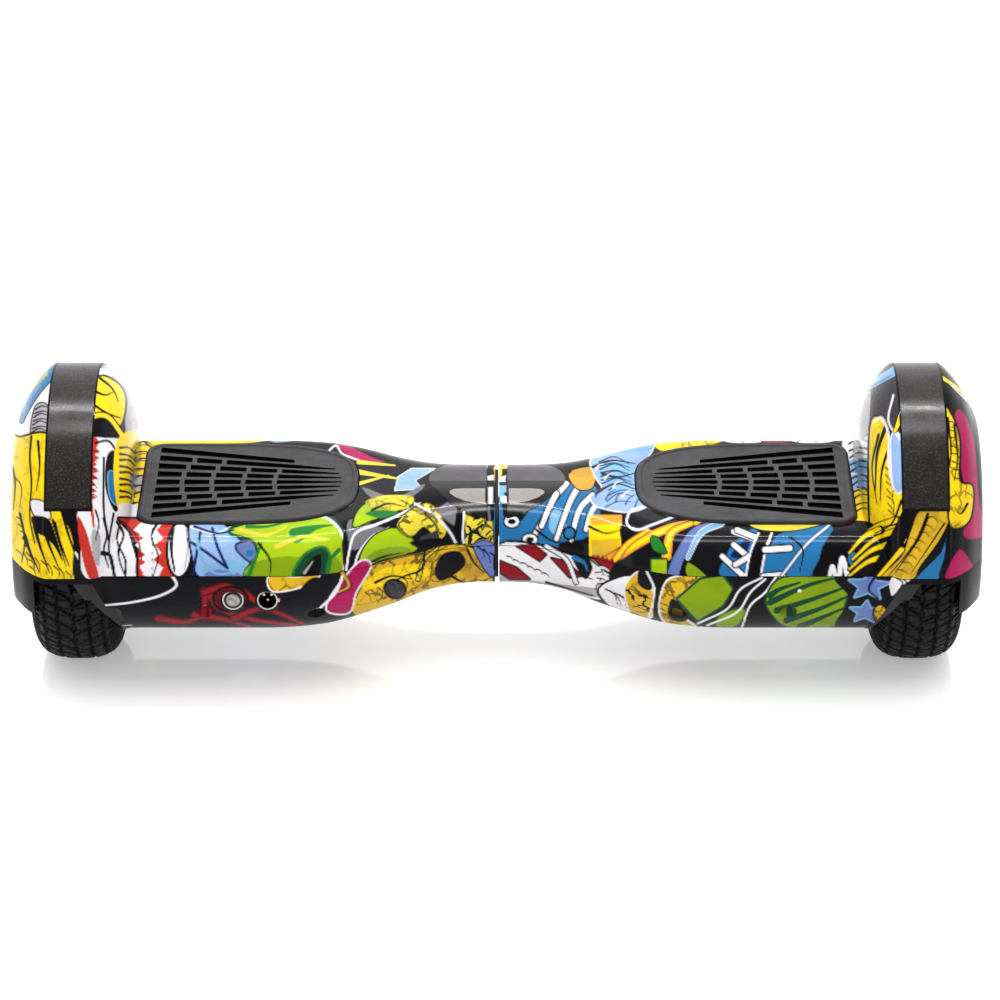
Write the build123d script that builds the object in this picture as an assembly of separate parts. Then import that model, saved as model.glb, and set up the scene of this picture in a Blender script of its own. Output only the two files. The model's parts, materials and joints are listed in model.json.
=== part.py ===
"""Two-wheeled self-balancing board, 6.5-inch class, as an assembly of separate parts.

Millimetres, +Z up. The origin is on the ground midway between the wheels.
X runs along the board from wheel to wheel, -X is the rider's half with the battery.
-Y is the face with the power button and charge socket, +Y the face with the lamps.
Every left-hand part is the mirror image of the right-hand one unless it is named alone.
"""

import os
from math import cos, radians, sin

from build123d import *

# ---- Whole board -------------------------------------------------------------------------
HALF_LENGTH = 290.0  # centre to the outer lip of a wheel arch
AXLE_Z = 86.0  # height of both wheel axles and of the twist pivot
FENDER_R = 94.0  # wheel arch over the tyre
WHEEL_X = 253.0  # centre plane of a wheel
WALL = 3.0  # moulded shell wall
HALF_GAP = 1.2  # half of the gap between the two halves
SEAM_GAP = 0.4  # joint line between upper and lower shell
SEAM_Z = AXLE_Z

# ---- Body sections -----------------------------------------------------------------------
# Half outlines (y, z): side point at the seam, two control points, end of the flat.
WAIST_UP = ((44, 86), (44, 102), (34, 111), (10, 111))
FULL_UP = ((90, 86), (88, 96), (80, 107), (66, 107))
WAIST_LOW = ((44, 86), (44, 64), (32, 51), (10, 51))
FULL_LOW = ((90, 86), (90, 62), (52, 30), (36, 30))
# Distance from the centre plane, then how far side, top and bottom have flared, 0 to 1.
FLARE = (
    (20, 0.05, 0.00, 0.02),
    (40, 0.20, 0.03, 0.16),
    (60, 0.43, 0.28, 0.44),
    (80, 0.72, 0.63, 0.68),
    (100, 0.92, 0.88, 0.88),
    (120, 1.00, 0.98, 0.97),
    (140, 1.00, 1.00, 1.00),
)
BODY_END = 240.0  # the body section is constant from the last station to here
CAVITY_END = 215.5
ROOF_Z = 100.0  # underside of the platform
ROOF_FLARE = 0.6  # top flare from which the roof is down to that height

# ---- Wheel arch --------------------------------------------------------------------------
ARCH_INNER_X = 218.5
WELL_INNER_X = 221.5
WELL_OUTER_X = 286.8
WELL_R = 90.6
ARCH_MOUTH_R = 60.0  # round side opening that shows the hub
ARCH_LIP_Z = 58.0  # lower end of the lip on the wheel's outer side
ARCH_LIP_X = 275.0
ARCH_BRIDGE_Z = 82.4
ARCH_SLANT = ((253, 86), (224, 30))  # front edge of the lower shell beside the tyre, (x, z)
ARCH_FOOT_X = 217.0  # inner end of the lower shell's part of the arch
ARCH_LOW = ((94, 86), (94, 62), (54, 30), (36, 30))  # half outline that part stays inside
TRIM_X = (240.0, 266.5)
TRIM_R = (92.5, 93.7)
TRIM_END_Z = 127.0
TRIM_GAP = 0.1  # all round the trim in its groove

# ---- Foot pad ----------------------------------------------------------------------------
PAD_TOP_Z = 109.5
PAD_THICKNESS = 4.0
PAD_RECESS_Z = 103.2
PAD_GAP = 0.6
PAD_X = (84.0, 215.0)
PAD_HALF_DEPTH = 61.0
PAD_CORNER = 12.0
# Points round the nose of the pad with the lean of the outline's normal there.
PAD_NOSE = ((84.6, 18, 6), (88.2, 33, 27), (96, 44, 50), (111, 53.5, 68), (140, 60, 85))
PAD_BORDER = 3.0  # lower rim round the tread field
PAD_STEP = 1.0
PAD_SLOT_DEPTH = 1.3
PAD_SLOT_LINES = 9
PAD_SLOT_PITCH = (12.4, 7.4)  # at the outer and at the inner end of the slots
PAD_SLOT_FIELD = (205.0, 100.0)
PAD_RIB_X = (195.0, 176.0, 156.0, 135.0)
PAD_RIB = 3.4
PAD_RIB_BOW = 5.0
PLUNGER_X = (125.0, 175.0)
PLUNGER_Y = 26.0
PLUNGER_R = 5.0
PLUNGER_Z = 91.0
PLUNGER_HOLE_R = 6.2

# ---- Wheel and hub motor -----------------------------------------------------------------
TYRE_R = 86.0
TYRE_HALF = 26.5
RIM_R = 58.0
DRUM_R = 54.0
RIM_X = (231.0, 275.0)
MAGNET_R = 51.0
STATOR_R = 50.0
STATOR_X = (242.0, 262.0)
STATOR_TEETH = 27
AXLE_R = 8.5
AXLE_TIP_R = 6.0
AXLE_CORE_R = 10.0
AXLE_X = (194.0, 238.0, 264.0, 271.5)
RUN_CLEARANCE = 0.05
INNER_BEARING = (17.5, 228.5, 237.5)
OUTER_BEARING = (14.0, 264.4, 272.4)
COVER_SCREWS = 6
COVER_SCREW_CIRCLE = 56.0
TREAD_LUGS = 30
TREAD_DEPTH = 3.0

# ---- Metal frame and pivot ---------------------------------------------------------------
FRAME_CLEARANCE = 0.8
NECK_R = 18.0
NECK_X = 6.0
NECK_OPEN_X = 64.0  # the neck is open on top from here, under the platform
BULKHEAD_X = (84.0, 88.0)
TRAY_Z = (41.0, 44.0)
TRAY_HALF = 46.0
TRAY_END = 196.0
RAIL_Z = 80.0
SADDLE_X = (196.0, 210.0)
SADDLE_HALF = 20.0
FRAME_SCREW_X = (104.0, 178.0)
FRAME_SCREW_Y = 28.0
TUBE_R = 12.0
TUBE_BORE_R = 9.0
TUBE_X = (-80.0, 72.0)
BUSH_R = 15.0
BUSH_X = ((8.0, 20.0), (52.0, 66.0))
BUSH_FLANGE = (17.5, 1.5)
CLIP_X = 66.4
TWIST_LIMIT = 15.0
STOP_PIN_X = 36.0
STOP_PIN_R = 2.0
SEAL_INSET = 2.5

# ---- Fittings ----------------------------------------------------------------------------
BUTTON_AT = (-157.0, 67.5)
SOCKET_AT = (-136.5, 67.5)
FITTING_Y = -81.0  # flat facets that the two round fittings sit on
POCKET_R = 7.4
BEZEL_R = 6.4
BUTTON_R = 4.3
SOCKET_R = 6.2
SOCKET_BORE_R = 5.0
SOCKET_DEPTH = 12.0
PIN_CIRCLE = 2.3
WELL_SCREWS = ((174.0, 76.0), (108.0, 71.0))
SCREW_WELL_R = 5.0
SCREW_SEAT_Z = 66.0
PANEL_X = 6.0
PANEL_EDGE = ((6, 39.3), (13.4, 38), (21.3, 35), (28.6, 29.5), (34.6, 20), (40.4, 8), (41.4, 0))
LENS_X = (8.0, 29.0)
LENS_Y = (-31.0, -15.0)
LAMP_X = (112.0, 158.0)
LAMP_Z = (66.0, 77.0)


def mix(a, b, t):
    """Point part of the way from a to b, each coordinate on its own."""
    return tuple(p + (q - p) * t for p, q in zip(a, b, strict=True))


def box(x, y, z):
    """Block from its low and high coordinates on each axis."""
    size = (x[1] - x[0], y[1] - y[0], z[1] - z[0])
    centre = ((x[0] + x[1]) / 2, (y[0] + y[1]) / 2, (z[0] + z[1]) / 2)
    return Pos(*centre) * Box(*size)


def rod(x, r, y=0.0, z=AXLE_Z):
    """Cylinder along X between two x values."""
    return Pos((x[0] + x[1]) / 2, y, z) * Rot(0, 90, 0) * Cylinder(r, x[1] - x[0])


def post(x, y, z, r):
    """Upright cylinder between two z values."""
    return Pos(x, y, (z[0] + z[1]) / 2) * Cylinder(r, z[1] - z[0])


def plug(x, y, z, r):
    """Cylinder along Y between two y values."""
    return Pos(x, (y[0] + y[1]) / 2, z) * Rot(90, 0, 0) * Cylinder(r, y[1] - y[0])


def turned(points):
    """Ring or disc turned about the axle line from (x, radius) points."""
    outline = Polyline(*[(x, AXLE_Z + r) for x, r in points], close=True)
    return revolve(Plane.XZ * make_face(outline), Axis((0, 0, AXLE_Z), (1, 0, 0)), 360)


def spread_round(count, radius, start=0.0):
    """(y, z) points evenly round the axle line."""
    for k in range(count):
        a = radians(start + 360 * k / count)
        yield radius * cos(a), AXLE_Z + radius * sin(a)


def shape_at(waist, full, side, end):
    """Half outline of a section from how far its side and its flat have flared."""
    return [
        mix(waist[0], full[0], side),
        mix(waist[1], full[1], side),
        mix(waist[2], full[2], end),
        mix(waist[3], full[3], end),
    ]


def section(x, half):
    """Closed section face at x from a half outline, mirrored to the other side."""
    p0, p1, p2, p3 = half
    m0, m1, m2, m3 = [(-y, z) for y, z in half]
    edges = [
        Bezier(p0, p1, p2, p3),
        Line(p3, m3),
        Bezier(m3, m2, m1, m0),
        Line(m0, p0),
    ]
    plane = Plane(origin=(x, 0, 0), x_dir=(0, 1, 0), z_dir=(1, 0, 0))
    return plane * make_face(edges)


def inset(half, wall, flat_z):
    """Half outline of the space inside a wall, with its flat at the given height."""
    (y0, z0), (y1, z1), (y2, _), (y3, _) = half
    toward = (flat_z - z0) / (half[3][1] - z0)
    return [
        (y0 - wall, z0),
        (y1 - wall, z0 + (z1 - z0) * toward),
        (y2 - wall - 1, flat_z),
        (y3 - wall + 1, flat_z),
    ]


def stations(waist, full, which, start):
    """(x, half outline, flare of the flat) from the centre outward."""
    yield start, shape_at(waist, full, 0, 0), 0
    for x, side, top, bottom in FLARE:
        end = (top, bottom)[which]
        yield x, shape_at(waist, full, side, end), end


def body(waist, full, which):
    """Outside of the upper or lower body of the right half."""
    rows = list(stations(waist, full, which, HALF_GAP))
    flared = loft([section(x, half) for x, half, _ in rows])
    last_x, last, _ = rows[-1]
    return flared + extrude(section(last_x, last), BODY_END - last_x, dir=(1, 0, 0))


def cavity(waist, full, which, wall):
    """Space inside that body."""
    faces = []
    for x, half, flare in stations(waist, full, which, HALF_GAP + wall):
        flat = half[3][1]
        if which == 0:
            flat = min(flat - wall, ROOF_Z if flare >= ROOF_FLARE else flat)
        else:
            flat += wall
        faces.append((x, section(x, inset(half, wall, flat))))
    last_x, last = faces[-1]
    flared = loft([face for _, face in faces], ruled=True)
    return flared + extrude(last, CAVITY_END - last_x, dir=(1, 0, 0))


def arch_solid():
    """Wheel arch as a solid of revolution about the axle line, outside surface."""
    inner_points = ((ARCH_INNER_X, 50), (220.5, 66), (228.5, 83), (240, FENDER_R))
    outer_points = ((266.5, FENDER_R), (278, 84), (285.5, 71.5), (HALF_LENGTH, ARCH_MOUTH_R))
    inner = Spline(*inner_points, tangents=((0, 1), (1, 0.3)))
    outer = Spline(*outer_points, tangents=((1, -0.3), (0.15, -1)))
    lines = [
        inner,
        Line((240, FENDER_R), (266.5, FENDER_R)),
        outer,
        Polyline((HALF_LENGTH, ARCH_MOUTH_R), (HALF_LENGTH, 0), (ARCH_INNER_X, 0), (ARCH_INNER_X, 50)),
    ]
    profile = make_face([Pos(0, AXLE_Z) * part for part in lines])
    return revolve(Plane.XZ * profile, Axis((0, 0, AXLE_Z), (1, 0, 0)), 360)


def wheel_well():
    """Space round the tyre, with the round mouth on the outer side."""
    room = turned(
        [
            (WELL_INNER_X, 0),
            (WELL_INNER_X, 66),
            (225, 75),
            (231.5, 83),
            (241, WELL_R),
            (265.5, WELL_R),
            (273, 84.8),
            (278, 79.5),
            (282.5, 71),
            (WELL_OUTER_X, 60),
            (WELL_OUTER_X, 0),
        ]
    )
    return room + rod((WELL_OUTER_X - 5, HALF_LENGTH + 5), ARCH_MOUTH_R)


def pad_outline(grow):
    """Plan outline of the foot pad, grown all round."""
    inner, outer = PAD_X[0] - grow, PAD_X[1] + grow
    half = PAD_HALF_DEPTH + grow
    corner = PAD_CORNER + grow
    edge = [(inner, 0)]
    for x, y, lean in PAD_NOSE:
        edge.append((x - grow * cos(radians(lean)), y + grow * sin(radians(lean))))
    tip_x, tip_y = edge[-1]
    lower = [(x, -y) for x, y in reversed(edge[1:])]
    nose = Spline(*lower, *edge, tangents=((-1, 0.12), (1, 0.12)))
    sides = [(tip_x, tip_y), (tip_x + 9, half), (outer, half)]
    sides += [(x, -y) for x, y in reversed(sides)]
    rest = FilletPolyline(*sides, radius=(1, corner, corner, 1))
    return make_face([nose, rest])


def pad_slots():
    """Fan of tread pockets in the pad, split by bowed cross ribs."""
    outer_x, inner_x = PAD_SLOT_FIELD
    edges = [outer_x]
    for x in PAD_RIB_X:
        edges += [x + PAD_RIB / 2, x - PAD_RIB / 2]
    edges.append(inner_x)

    def at(x, line):
        t = (outer_x - x) / (outer_x - inner_x)
        pitch = PAD_SLOT_PITCH[0] + (PAD_SLOT_PITCH[1] - PAD_SLOT_PITCH[0]) * t
        y = pitch * line
        return x + PAD_RIB_BOW * (1 - (y / PAD_HALF_DEPTH) ** 2) - PAD_RIB_BOW / 2, y

    half = (PAD_SLOT_LINES - 1) / 2
    pockets = []
    for high, low in zip(edges[0::2], edges[1::2], strict=True):
        for k in range(PAD_SLOT_LINES):
            mid = k - half
            ring = [at(high, mid - 0.31), at(high, mid + 0.31), at(low, mid + 0.31), at(low, mid - 0.31)]
            pockets.append(extrude(make_face(Polyline(*ring, close=True)), 3))
    return Pos(0, 0, PAD_TOP_Z - PAD_SLOT_DEPTH) * Compound(children=pockets)


def foot_pad():
    """Rubber pad with its stepped border, tread pockets and switch plungers."""
    base_z = PAD_TOP_Z - PAD_THICKNESS
    plate = Pos(0, 0, base_z) * extrude(pad_outline(0), PAD_THICKNESS - PAD_STEP)
    plate += Pos(0, 0, base_z) * extrude(pad_outline(-PAD_BORDER), PAD_THICKNESS)
    for pocket in pad_slots().children:
        plate -= Pos(0, 0, PAD_TOP_Z - PAD_SLOT_DEPTH) * pocket
    for x in PLUNGER_X:
        for y in (-PLUNGER_Y, PLUNGER_Y):
            plate += post(x, y, (PLUNGER_Z, PAD_TOP_Z - PAD_THICKNESS + 0.5), PLUNGER_R)
    return plate


def plan_prism(points, z):
    """Upright prism over a closed plan outline."""
    return Pos(0, 0, z[0]) * extrude(make_face(points), z[1] - z[0])


def panel_prism(shrink):
    """Upright prism over the shield-shaped indicator panel."""
    edge = [(x - shrink * (x / 42), y * (1 - shrink / 40)) for x, y in PANEL_EDGE]
    edge[0] = (PANEL_X + shrink, edge[0][1])
    back = [(x, -y) for x, y in reversed(edge[:-1])]
    curve = Spline(*edge, *back)
    close = Line((edge[0][0], -edge[0][1]), (edge[0][0], edge[0][1]))
    return plan_prism([curve, close], (92, 120))


def lens_prism(grow):
    """Upright prism over the indicator lens, rounded at its outer end."""
    x0, x1 = LENS_X[0] - grow, LENS_X[1] + grow
    y0, y1 = LENS_Y[0] - grow, LENS_Y[1] + grow
    return box((x0, x1), (y0, y1), (95, 120)) & post(x0 + 6, (y0 + y1) / 2, (95, 120), x1 - x0 - 6)


def lamp_prism(grow):
    """Block through the front wall over the lamp lens."""
    block = box((LAMP_X[0] - grow, LAMP_X[1] + grow), (40, 100), (LAMP_Z[0] - grow, LAMP_Z[1] + grow))
    return fillet(block.edges().filter_by(Axis.Y), 4.5)


# ---- Right-hand moulded shells -------------------------------------------------------------
above = box((-400, 400), (-200, 200), (SEAM_Z, 300))
below = box((-400, 400), (-200, 200), (-50, SEAM_Z - SEAM_GAP))
arch = arch_solid()
well = wheel_well()
upper_out = body(WAIST_UP, FULL_UP, 0)
lower_out = body(WAIST_LOW, FULL_LOW, 1)
upper_in = cavity(WAIST_UP, FULL_UP, 0, WALL)
lower_in = cavity(WAIST_LOW, FULL_LOW, 1, WALL)

shell_top = upper_out + (arch & above)
shell_top -= upper_in
shell_top -= well
for sx, sy in WELL_SCREWS:
    for y in (-sy, sy):
        shell_top += post(sx, y, (SEAM_Z, ROOF_Z + 1), 5.5) & upper_out
        shell_top -= post(sx, y, (SEAM_Z - 1, 98), 1.5)
shell_top -= turned([(TRIM_X[0], TRIM_R[0]), (TRIM_X[1], TRIM_R[0]), (TRIM_X[1], 97), (TRIM_X[0], 97)]) & box(
    (200, 300), (-200, 200), (TRIM_END_Z, 300)
)
shell_top -= Pos(0, 0, PAD_RECESS_Z) * extrude(pad_outline(PAD_GAP), 20)
for x in PLUNGER_X:
    for y in (-PLUNGER_Y, PLUNGER_Y):
        shell_top -= post(x, y, (90, 110), PLUNGER_HOLE_R)
panel_seat = panel_prism(0)
panel_stock = ((upper_out - upper_in) & panel_seat) - rod((0, 80), NECK_R + 0.5)
shell_top -= panel_seat
shell_top -= rod((0, HALF_GAP + WALL + 1), NECK_R + 1)
shell_top -= rod((CAVITY_END - 1, WELL_INNER_X + 1), AXLE_R + 0.5)

foot = Polyline(*ARCH_SLANT, (ARCH_FOOT_X, 30), (ARCH_FOOT_X, 86), close=True)
beyond = Polyline(*ARCH_SLANT, (224, 0), (300, 0), (300, 86), close=True)
keep = extrude(Plane.XZ * make_face(foot), 100, both=True)
keep &= extrude(section(ARCH_FOOT_X, ARCH_LOW), 40, dir=(1, 0, 0))
cut_away = extrude(Plane.XZ * make_face(beyond), 100, both=True)
keep += box((ARCH_LIP_X, 300), (-100, 100), (ARCH_LIP_Z, SEAM_Z))
keep += box((ARCH_FOOT_X, 300), (-100, 100), (ARCH_BRIDGE_Z, SEAM_Z))
shell_low = ((lower_out & below) - cut_away) + (arch & keep & below)
shell_low -= lower_in
shell_low -= well
for sx, sy in WELL_SCREWS:
    for y in (-sy, sy):
        shell_low += post(sx, y, (SCREW_SEAT_Z - 18, SEAM_Z - SEAM_GAP), SCREW_WELL_R + 2.5) & lower_out
        shell_low -= post(sx, y, (0, SCREW_SEAT_Z), SCREW_WELL_R)
        shell_low -= post(sx, y, (0, SEAM_Z), 2.2)
for px in FRAME_SCREW_X:
    for y in (-FRAME_SCREW_Y, FRAME_SCREW_Y):
        shell_low += post(px, y, (31, TRAY_Z[0]), 5) & lower_out
        shell_low -= post(px, y, (35, TRAY_Z[0] + 1), 1.6)
lamp_stock = (lower_out - lower_in) & lamp_prism(0)
shell_low -= lamp_prism(0)
shell_low -= rod((0, HALF_GAP + WALL + 1), NECK_R + 1)
shell_low -= rod((CAVITY_END - 1, WELL_INNER_X + 1), AXLE_R + 0.5)

panel = panel_stock - lens_prism(0)
lens = panel_stock & lens_prism(0)

trim_inner = TRIM_X[0] + TRIM_GAP
trim_outer = TRIM_X[1] - TRIM_GAP
trim = turned(
    [(trim_inner, TRIM_R[0]), (trim_outer, TRIM_R[0]), (trim_outer, TRIM_R[1]), (trim_inner, TRIM_R[1])]
)
trim &= box((200, 300), (-200, 200), (TRIM_END_Z + TRIM_GAP, 300))

shell_screws = []
for sx, sy in WELL_SCREWS:
    for y in (-sy, sy):
        screw = post(sx, y, (SCREW_SEAT_Z - 2.4, SCREW_SEAT_Z), 3.6) + post(sx, y, (SCREW_SEAT_Z, 97), 1.5)
        shell_screws.append(screw - post(sx, y, (0, SCREW_SEAT_Z - 1.2), 1.4))


# ---- Right-hand wheel with hub motor -------------------------------------------------------
def tyre():
    """Solid rubber tyre with rounded shoulders, two centre grooves and side lugs."""
    half = [(22, RIM_R), (TYRE_HALF, 63.5), (TYRE_HALF, 69), (24.6, 76), (19, 82.4), (9, TYRE_R)]
    outline = [(WHEEL_X - o, r) for o, r in half] + [(WHEEL_X + o, r) for o, r in reversed(half)]
    ring = turned(outline)
    for side in (-7, 7):
        x = WHEEL_X + side
        floor = TYRE_R - TREAD_DEPTH
        ring -= turned([(x - 1.4, 90), (x - 1.0, floor), (x + 1.0, floor), (x + 1.4, 90)])
    slot = box((13, 30), (-1.6, 1.6), (TYRE_R - 12, 100))
    ring_slots = []
    for k in range(TREAD_LUGS):
        for side, lead in ((1, 0.0), (-1, 0.5)):
            turn = 360 * (k + lead) / TREAD_LUGS
            cut = slot if side > 0 else mirror(slot, about=Plane.YZ)
            ring_slots.append(Pos(WHEEL_X, 0, AXLE_Z) * Rot(turn, 0, 0) * cut)
    core = turned(
        [(WHEEL_X - 23, RIM_R), (WHEEL_X - 22.5, 75), (WHEEL_X - 8, TYRE_R - 3), (WHEEL_X + 8, TYRE_R - 3)]
        + [(WHEEL_X + 22.5, 75), (WHEEL_X + 23, RIM_R)]
    )
    return (ring - ring_slots) + (core & ring)


rim_shape = turned(
    [
        (RIM_X[0], DRUM_R),
        (RIM_X[0], RIM_R),
        (RIM_X[1], RIM_R),
        (RIM_X[1], 0),
        (OUTER_BEARING[2], 0),
        (OUTER_BEARING[2], OUTER_BEARING[0]),
        (OUTER_BEARING[1] - 0.4, OUTER_BEARING[0]),
        (OUTER_BEARING[1] - 0.4, 19),
        (271, 24),
        (271, DRUM_R),
    ]
)
magnets = turned([(240, MAGNET_R), (264, MAGNET_R), (264, DRUM_R), (240, DRUM_R)])
cover = turned(
    [
        (228, INNER_BEARING[0]),
        (228, RIM_R - 0.3),
        (RIM_X[0], RIM_R - 0.3),
        (RIM_X[0], 26),
        (237.8, 22),
        (237.8, INNER_BEARING[0]),
    ]
)
bearings = [
    rod(INNER_BEARING[1:], INNER_BEARING[0]) - rod((220, 245), AXLE_R + RUN_CLEARANCE),
    rod(OUTER_BEARING[1:], OUTER_BEARING[0]) - rod((260, 276), AXLE_TIP_R + RUN_CLEARANCE),
]
axle = rod(AXLE_X[:2], AXLE_R) + rod(AXLE_X[1:3], AXLE_CORE_R) + rod(AXLE_X[2:], AXLE_TIP_R)
axle -= rod((190, 236), 4)
axle -= box((190, 212), (AXLE_R - 1.5, 20), (60, 110))
stator = rod(STATOR_X, STATOR_R) - rod((230, 270), AXLE_CORE_R)
slots = []
for k in range(STATOR_TEETH):
    cut = box((230, 270), (-1.8, 1.8), (34, 47)) + box((230, 270), (-0.7, 0.7), (46, 55))
    slots.append(Pos(0, 0, AXLE_Z) * Rot(360 * k / STATOR_TEETH, 0, 0) * cut)
stator -= slots
for k in range(6):
    y, z = list(spread_round(6, 22))[k]
    stator -= rod((230, 270), 5, y, z)
cover_screws = []
for y, z in spread_round(COVER_SCREWS, COVER_SCREW_CIRCLE, 30):
    rim_shape -= rod((230, 241), 1.5, y, z)
    cover -= rod((227, 232), 1.5, y, z)
    head = rod((226.2, 228), 2.6, y, z) - rod((225, 227), 1.2, y, z)
    cover_screws.append(head + rod((228, 240), 1.5, y, z))
hub_cap = turned([(275, 0), (275, 50), (276.5, 50), (279, 46), (279, 20), (281, 16), (281, 0)])
for k in range(5):
    spoke = rod((277.2, 285), 8.5, 0, 0)
    spoke += Pos(0, 0, 9) * spoke
    hub_cap -= Pos(0, 0, AXLE_Z) * Rot(72 * k, 0, 0) * Pos(0, 0, 29) * spoke


# ---- Right-hand metal frame ----------------------------------------------------------------
def frame(bore):
    """Cast frame: neck round the pivot, bulkhead, tray with rails and axle saddle."""
    neck = rod((NECK_X, BULKHEAD_X[1]), NECK_R)
    neck -= box((NECK_OPEN_X, 100), (-30, 30), (ROOF_Z - 2, 120))
    wall = box(BULKHEAD_X, (-TRAY_HALF, TRAY_HALF), (TRAY_Z[0], 92))
    tray = box((BULKHEAD_X[0], TRAY_END + 4), (-TRAY_HALF, TRAY_HALF), TRAY_Z)
    shape = neck + wall + tray
    for side in (-1, 1):
        edges = sorted((side * TRAY_HALF, side * (TRAY_HALF - 3)))
        shape += box((BULKHEAD_X[0], TRAY_END), edges, (TRAY_Z[0], RAIL_Z))
        for x in (110.0, 188.0):
            ear = sorted((side * 46, side * 40))
            shape += box((x - 4, x + 4), ear, (RAIL_Z - 8, RAIL_Z))
            shape -= post(x, side * 42.5, (RAIL_Z - 7, RAIL_Z + 1), 1.2)
    shape += box(SADDLE_X, (-SADDLE_HALF, SADDLE_HALF), (TRAY_Z[0], AXLE_Z))
    shape += box((TRAY_END - 12, TRAY_END), (-3, 3), (TRAY_Z[0], 70))
    shape -= rod((SADDLE_X[0] - 20, 230), AXLE_R)
    shape -= rod((-5, BULKHEAD_X[1] + 1), bore)
    for y in (-14.0, 14.0):
        shape -= post(203, y, (70, AXLE_Z + 1), 2.0)
    for px in FRAME_SCREW_X:
        for y in (-FRAME_SCREW_Y, FRAME_SCREW_Y):
            shape -= post(px, y, (TRAY_Z[0] - 1, TRAY_Z[1] + 1), 1.8)
            shape -= post(px, y, (TRAY_Z[1] - 1.6, TRAY_Z[1] + 1), 3.2)
    return shape & (above + cavity(WAIST_LOW, FULL_LOW, 1, WALL + FRAME_CLEARANCE))


clamp = box(SADDLE_X, (-SADDLE_HALF, SADDLE_HALF), (AXLE_Z + 0.4, AXLE_Z + 12)) - rod((190, 230), AXLE_R)
clamp_bolts = []
for y in (-14.0, 14.0):
    clamp -= post(203, y, (80, 110), 2.0)
    bolt = post(203, y, (AXLE_Z + 12, AXLE_Z + 13.2), 3.4) + post(203, y, (71, AXLE_Z + 12), 2.0)
    clamp_bolts.append(bolt)

sensor_board = box((102, 192), (-44.5, 44.5), (RAIL_Z, RAIL_Z + 1.6))
sensor_board -= box((140, 160), (-60, -30), (70, 90))
sensor_board -= box((140, 160), (30, 60), (70, 90))
for x in PLUNGER_X:
    for y in (-PLUNGER_Y, PLUNGER_Y):
        sensor_board += box((x - 6, x + 6), (y - 5, y + 5), (RAIL_Z + 1.6, PLUNGER_Z - 2.2))
sensor_board += box((148, AXLE_X[0] - 34), (-7, 7), (RAIL_Z + 1.6, RAIL_Z + 9.5))
for x in (110.0, 188.0):
    for y in (-42.5, 42.5):
        sensor_board -= post(x, y, (70, 95), 1.3)


def cable(points, r, bend):
    """Round cable along a rounded path."""
    path = FilletPolyline(*points, radius=bend)
    start = Plane(origin=path @ 0, z_dir=path % 0)
    return sweep(start * Circle(r), path)


motor_cable = rod((AXLE_X[0] - 34, AXLE_X[1] - 4), 3.0)

# ---- Pivot ---------------------------------------------------------------------------------
pivot_tube = rod(TUBE_X, TUBE_R) - rod((-90, 90), TUBE_BORE_R)
pivot_tube -= rod((CLIP_X - 0.1, CLIP_X + 1.5), 20) - rod((CLIP_X - 1, CLIP_X + 3), TUBE_R - 1)
stop_pin = post(STOP_PIN_X, 0, (AXLE_Z - 21, AXLE_Z - TUBE_BORE_R + 1), STOP_PIN_R)
pivot_tube -= stop_pin
tube_room = rod((-100, 100), TUBE_R + RUN_CLEARANCE)
bushes = [rod(span, BUSH_R) for span in BUSH_X]
bushes[0] += rod((BUSH_X[0][0] - BUSH_FLANGE[1], BUSH_X[0][0]), BUSH_FLANGE[0])
bushes = [bush - tube_room for bush in bushes]
circlip = rod((CLIP_X, CLIP_X + 1.4), TUBE_R + 2.4) - rod((60, 80), TUBE_R - 1)
circlip -= box((60, 80), (-2.5, 2.5), (AXLE_Z, AXLE_Z + 20))
seal_top = section(-HALF_GAP, inset(WAIST_UP, SEAL_INSET, WAIST_UP[3][1] - SEAL_INSET))
seal_low = section(-HALF_GAP, inset(WAIST_LOW, SEAL_INSET, WAIST_LOW[3][1] + SEAL_INSET))
centre_seal = extrude(seal_top, 2 * HALF_GAP - 0.3, dir=(1, 0, 0))
centre_seal += extrude(seal_low, 2 * HALF_GAP - 0.3, dir=(1, 0, 0))
centre_seal -= rod((-5, 5), TUBE_R)

frame_right = frame(BUSH_R)
frame_right -= rod((NECK_X - 1, BUSH_X[0][0]), BUSH_FLANGE[0])
stop_room = TWIST_LIMIT + 9.5
wedge = [(0, AXLE_Z), (40 * sin(radians(stop_room)), AXLE_Z - 40 * cos(radians(stop_room)))]
wedge.append((-wedge[1][0], wedge[1][1]))
stop_slot = Plane.YZ * make_face(Polyline(*wedge, close=True))
frame_right -= Pos(STOP_PIN_X, 0, 0) * extrude(stop_slot, STOP_PIN_R + 0.4, both=True)
frame_left = mirror(frame(TUBE_R), about=Plane.YZ)
frame_screws = []
for px in FRAME_SCREW_X:
    for y in (-FRAME_SCREW_Y, FRAME_SCREW_Y):
        frame_screws.append(post(px, y, (TRAY_Z[1] - 1.6, TRAY_Z[1]), 3.2) + post(px, y, (35, 43), 1.6))

# ---- Electrics -----------------------------------------------------------------------------
battery = box((-182, -100), (-39, 39), (TRAY_Z[1], 78))
battery = fillet(battery.edges().filter_by(Axis.X), 8)
for k in range(1, 4):
    y = -39 + 78 * k / 4
    battery -= box((-183, -99), (y - 0.8, y + 0.8), (77.2, 80))
battery += box((-100, -93), (-8, 8), (56, 72))
strap = box((-148, -134), (-40.4, 40.4), (TRAY_Z[1], 79.4)) - box((-150, -130), (-39, 39), (40, 78))
main_board = box((94, 182), (-38, 38), (52, 53.6))
for x in (98, 178):
    for y in (-34, 34):
        main_board += post(x, y, (TRAY_Z[1], 52), 3)
for y in (-24, 24):
    main_board += post(114, y, (53.6, 74), 7)
main_board += box((94, 103), (-8, 8), (53.6, 64))
main_board += box((126, 140), (-10, 10), (53.6, 57))
main_board += box((150, 176), (-32, 32), (53.6, 59))
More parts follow.
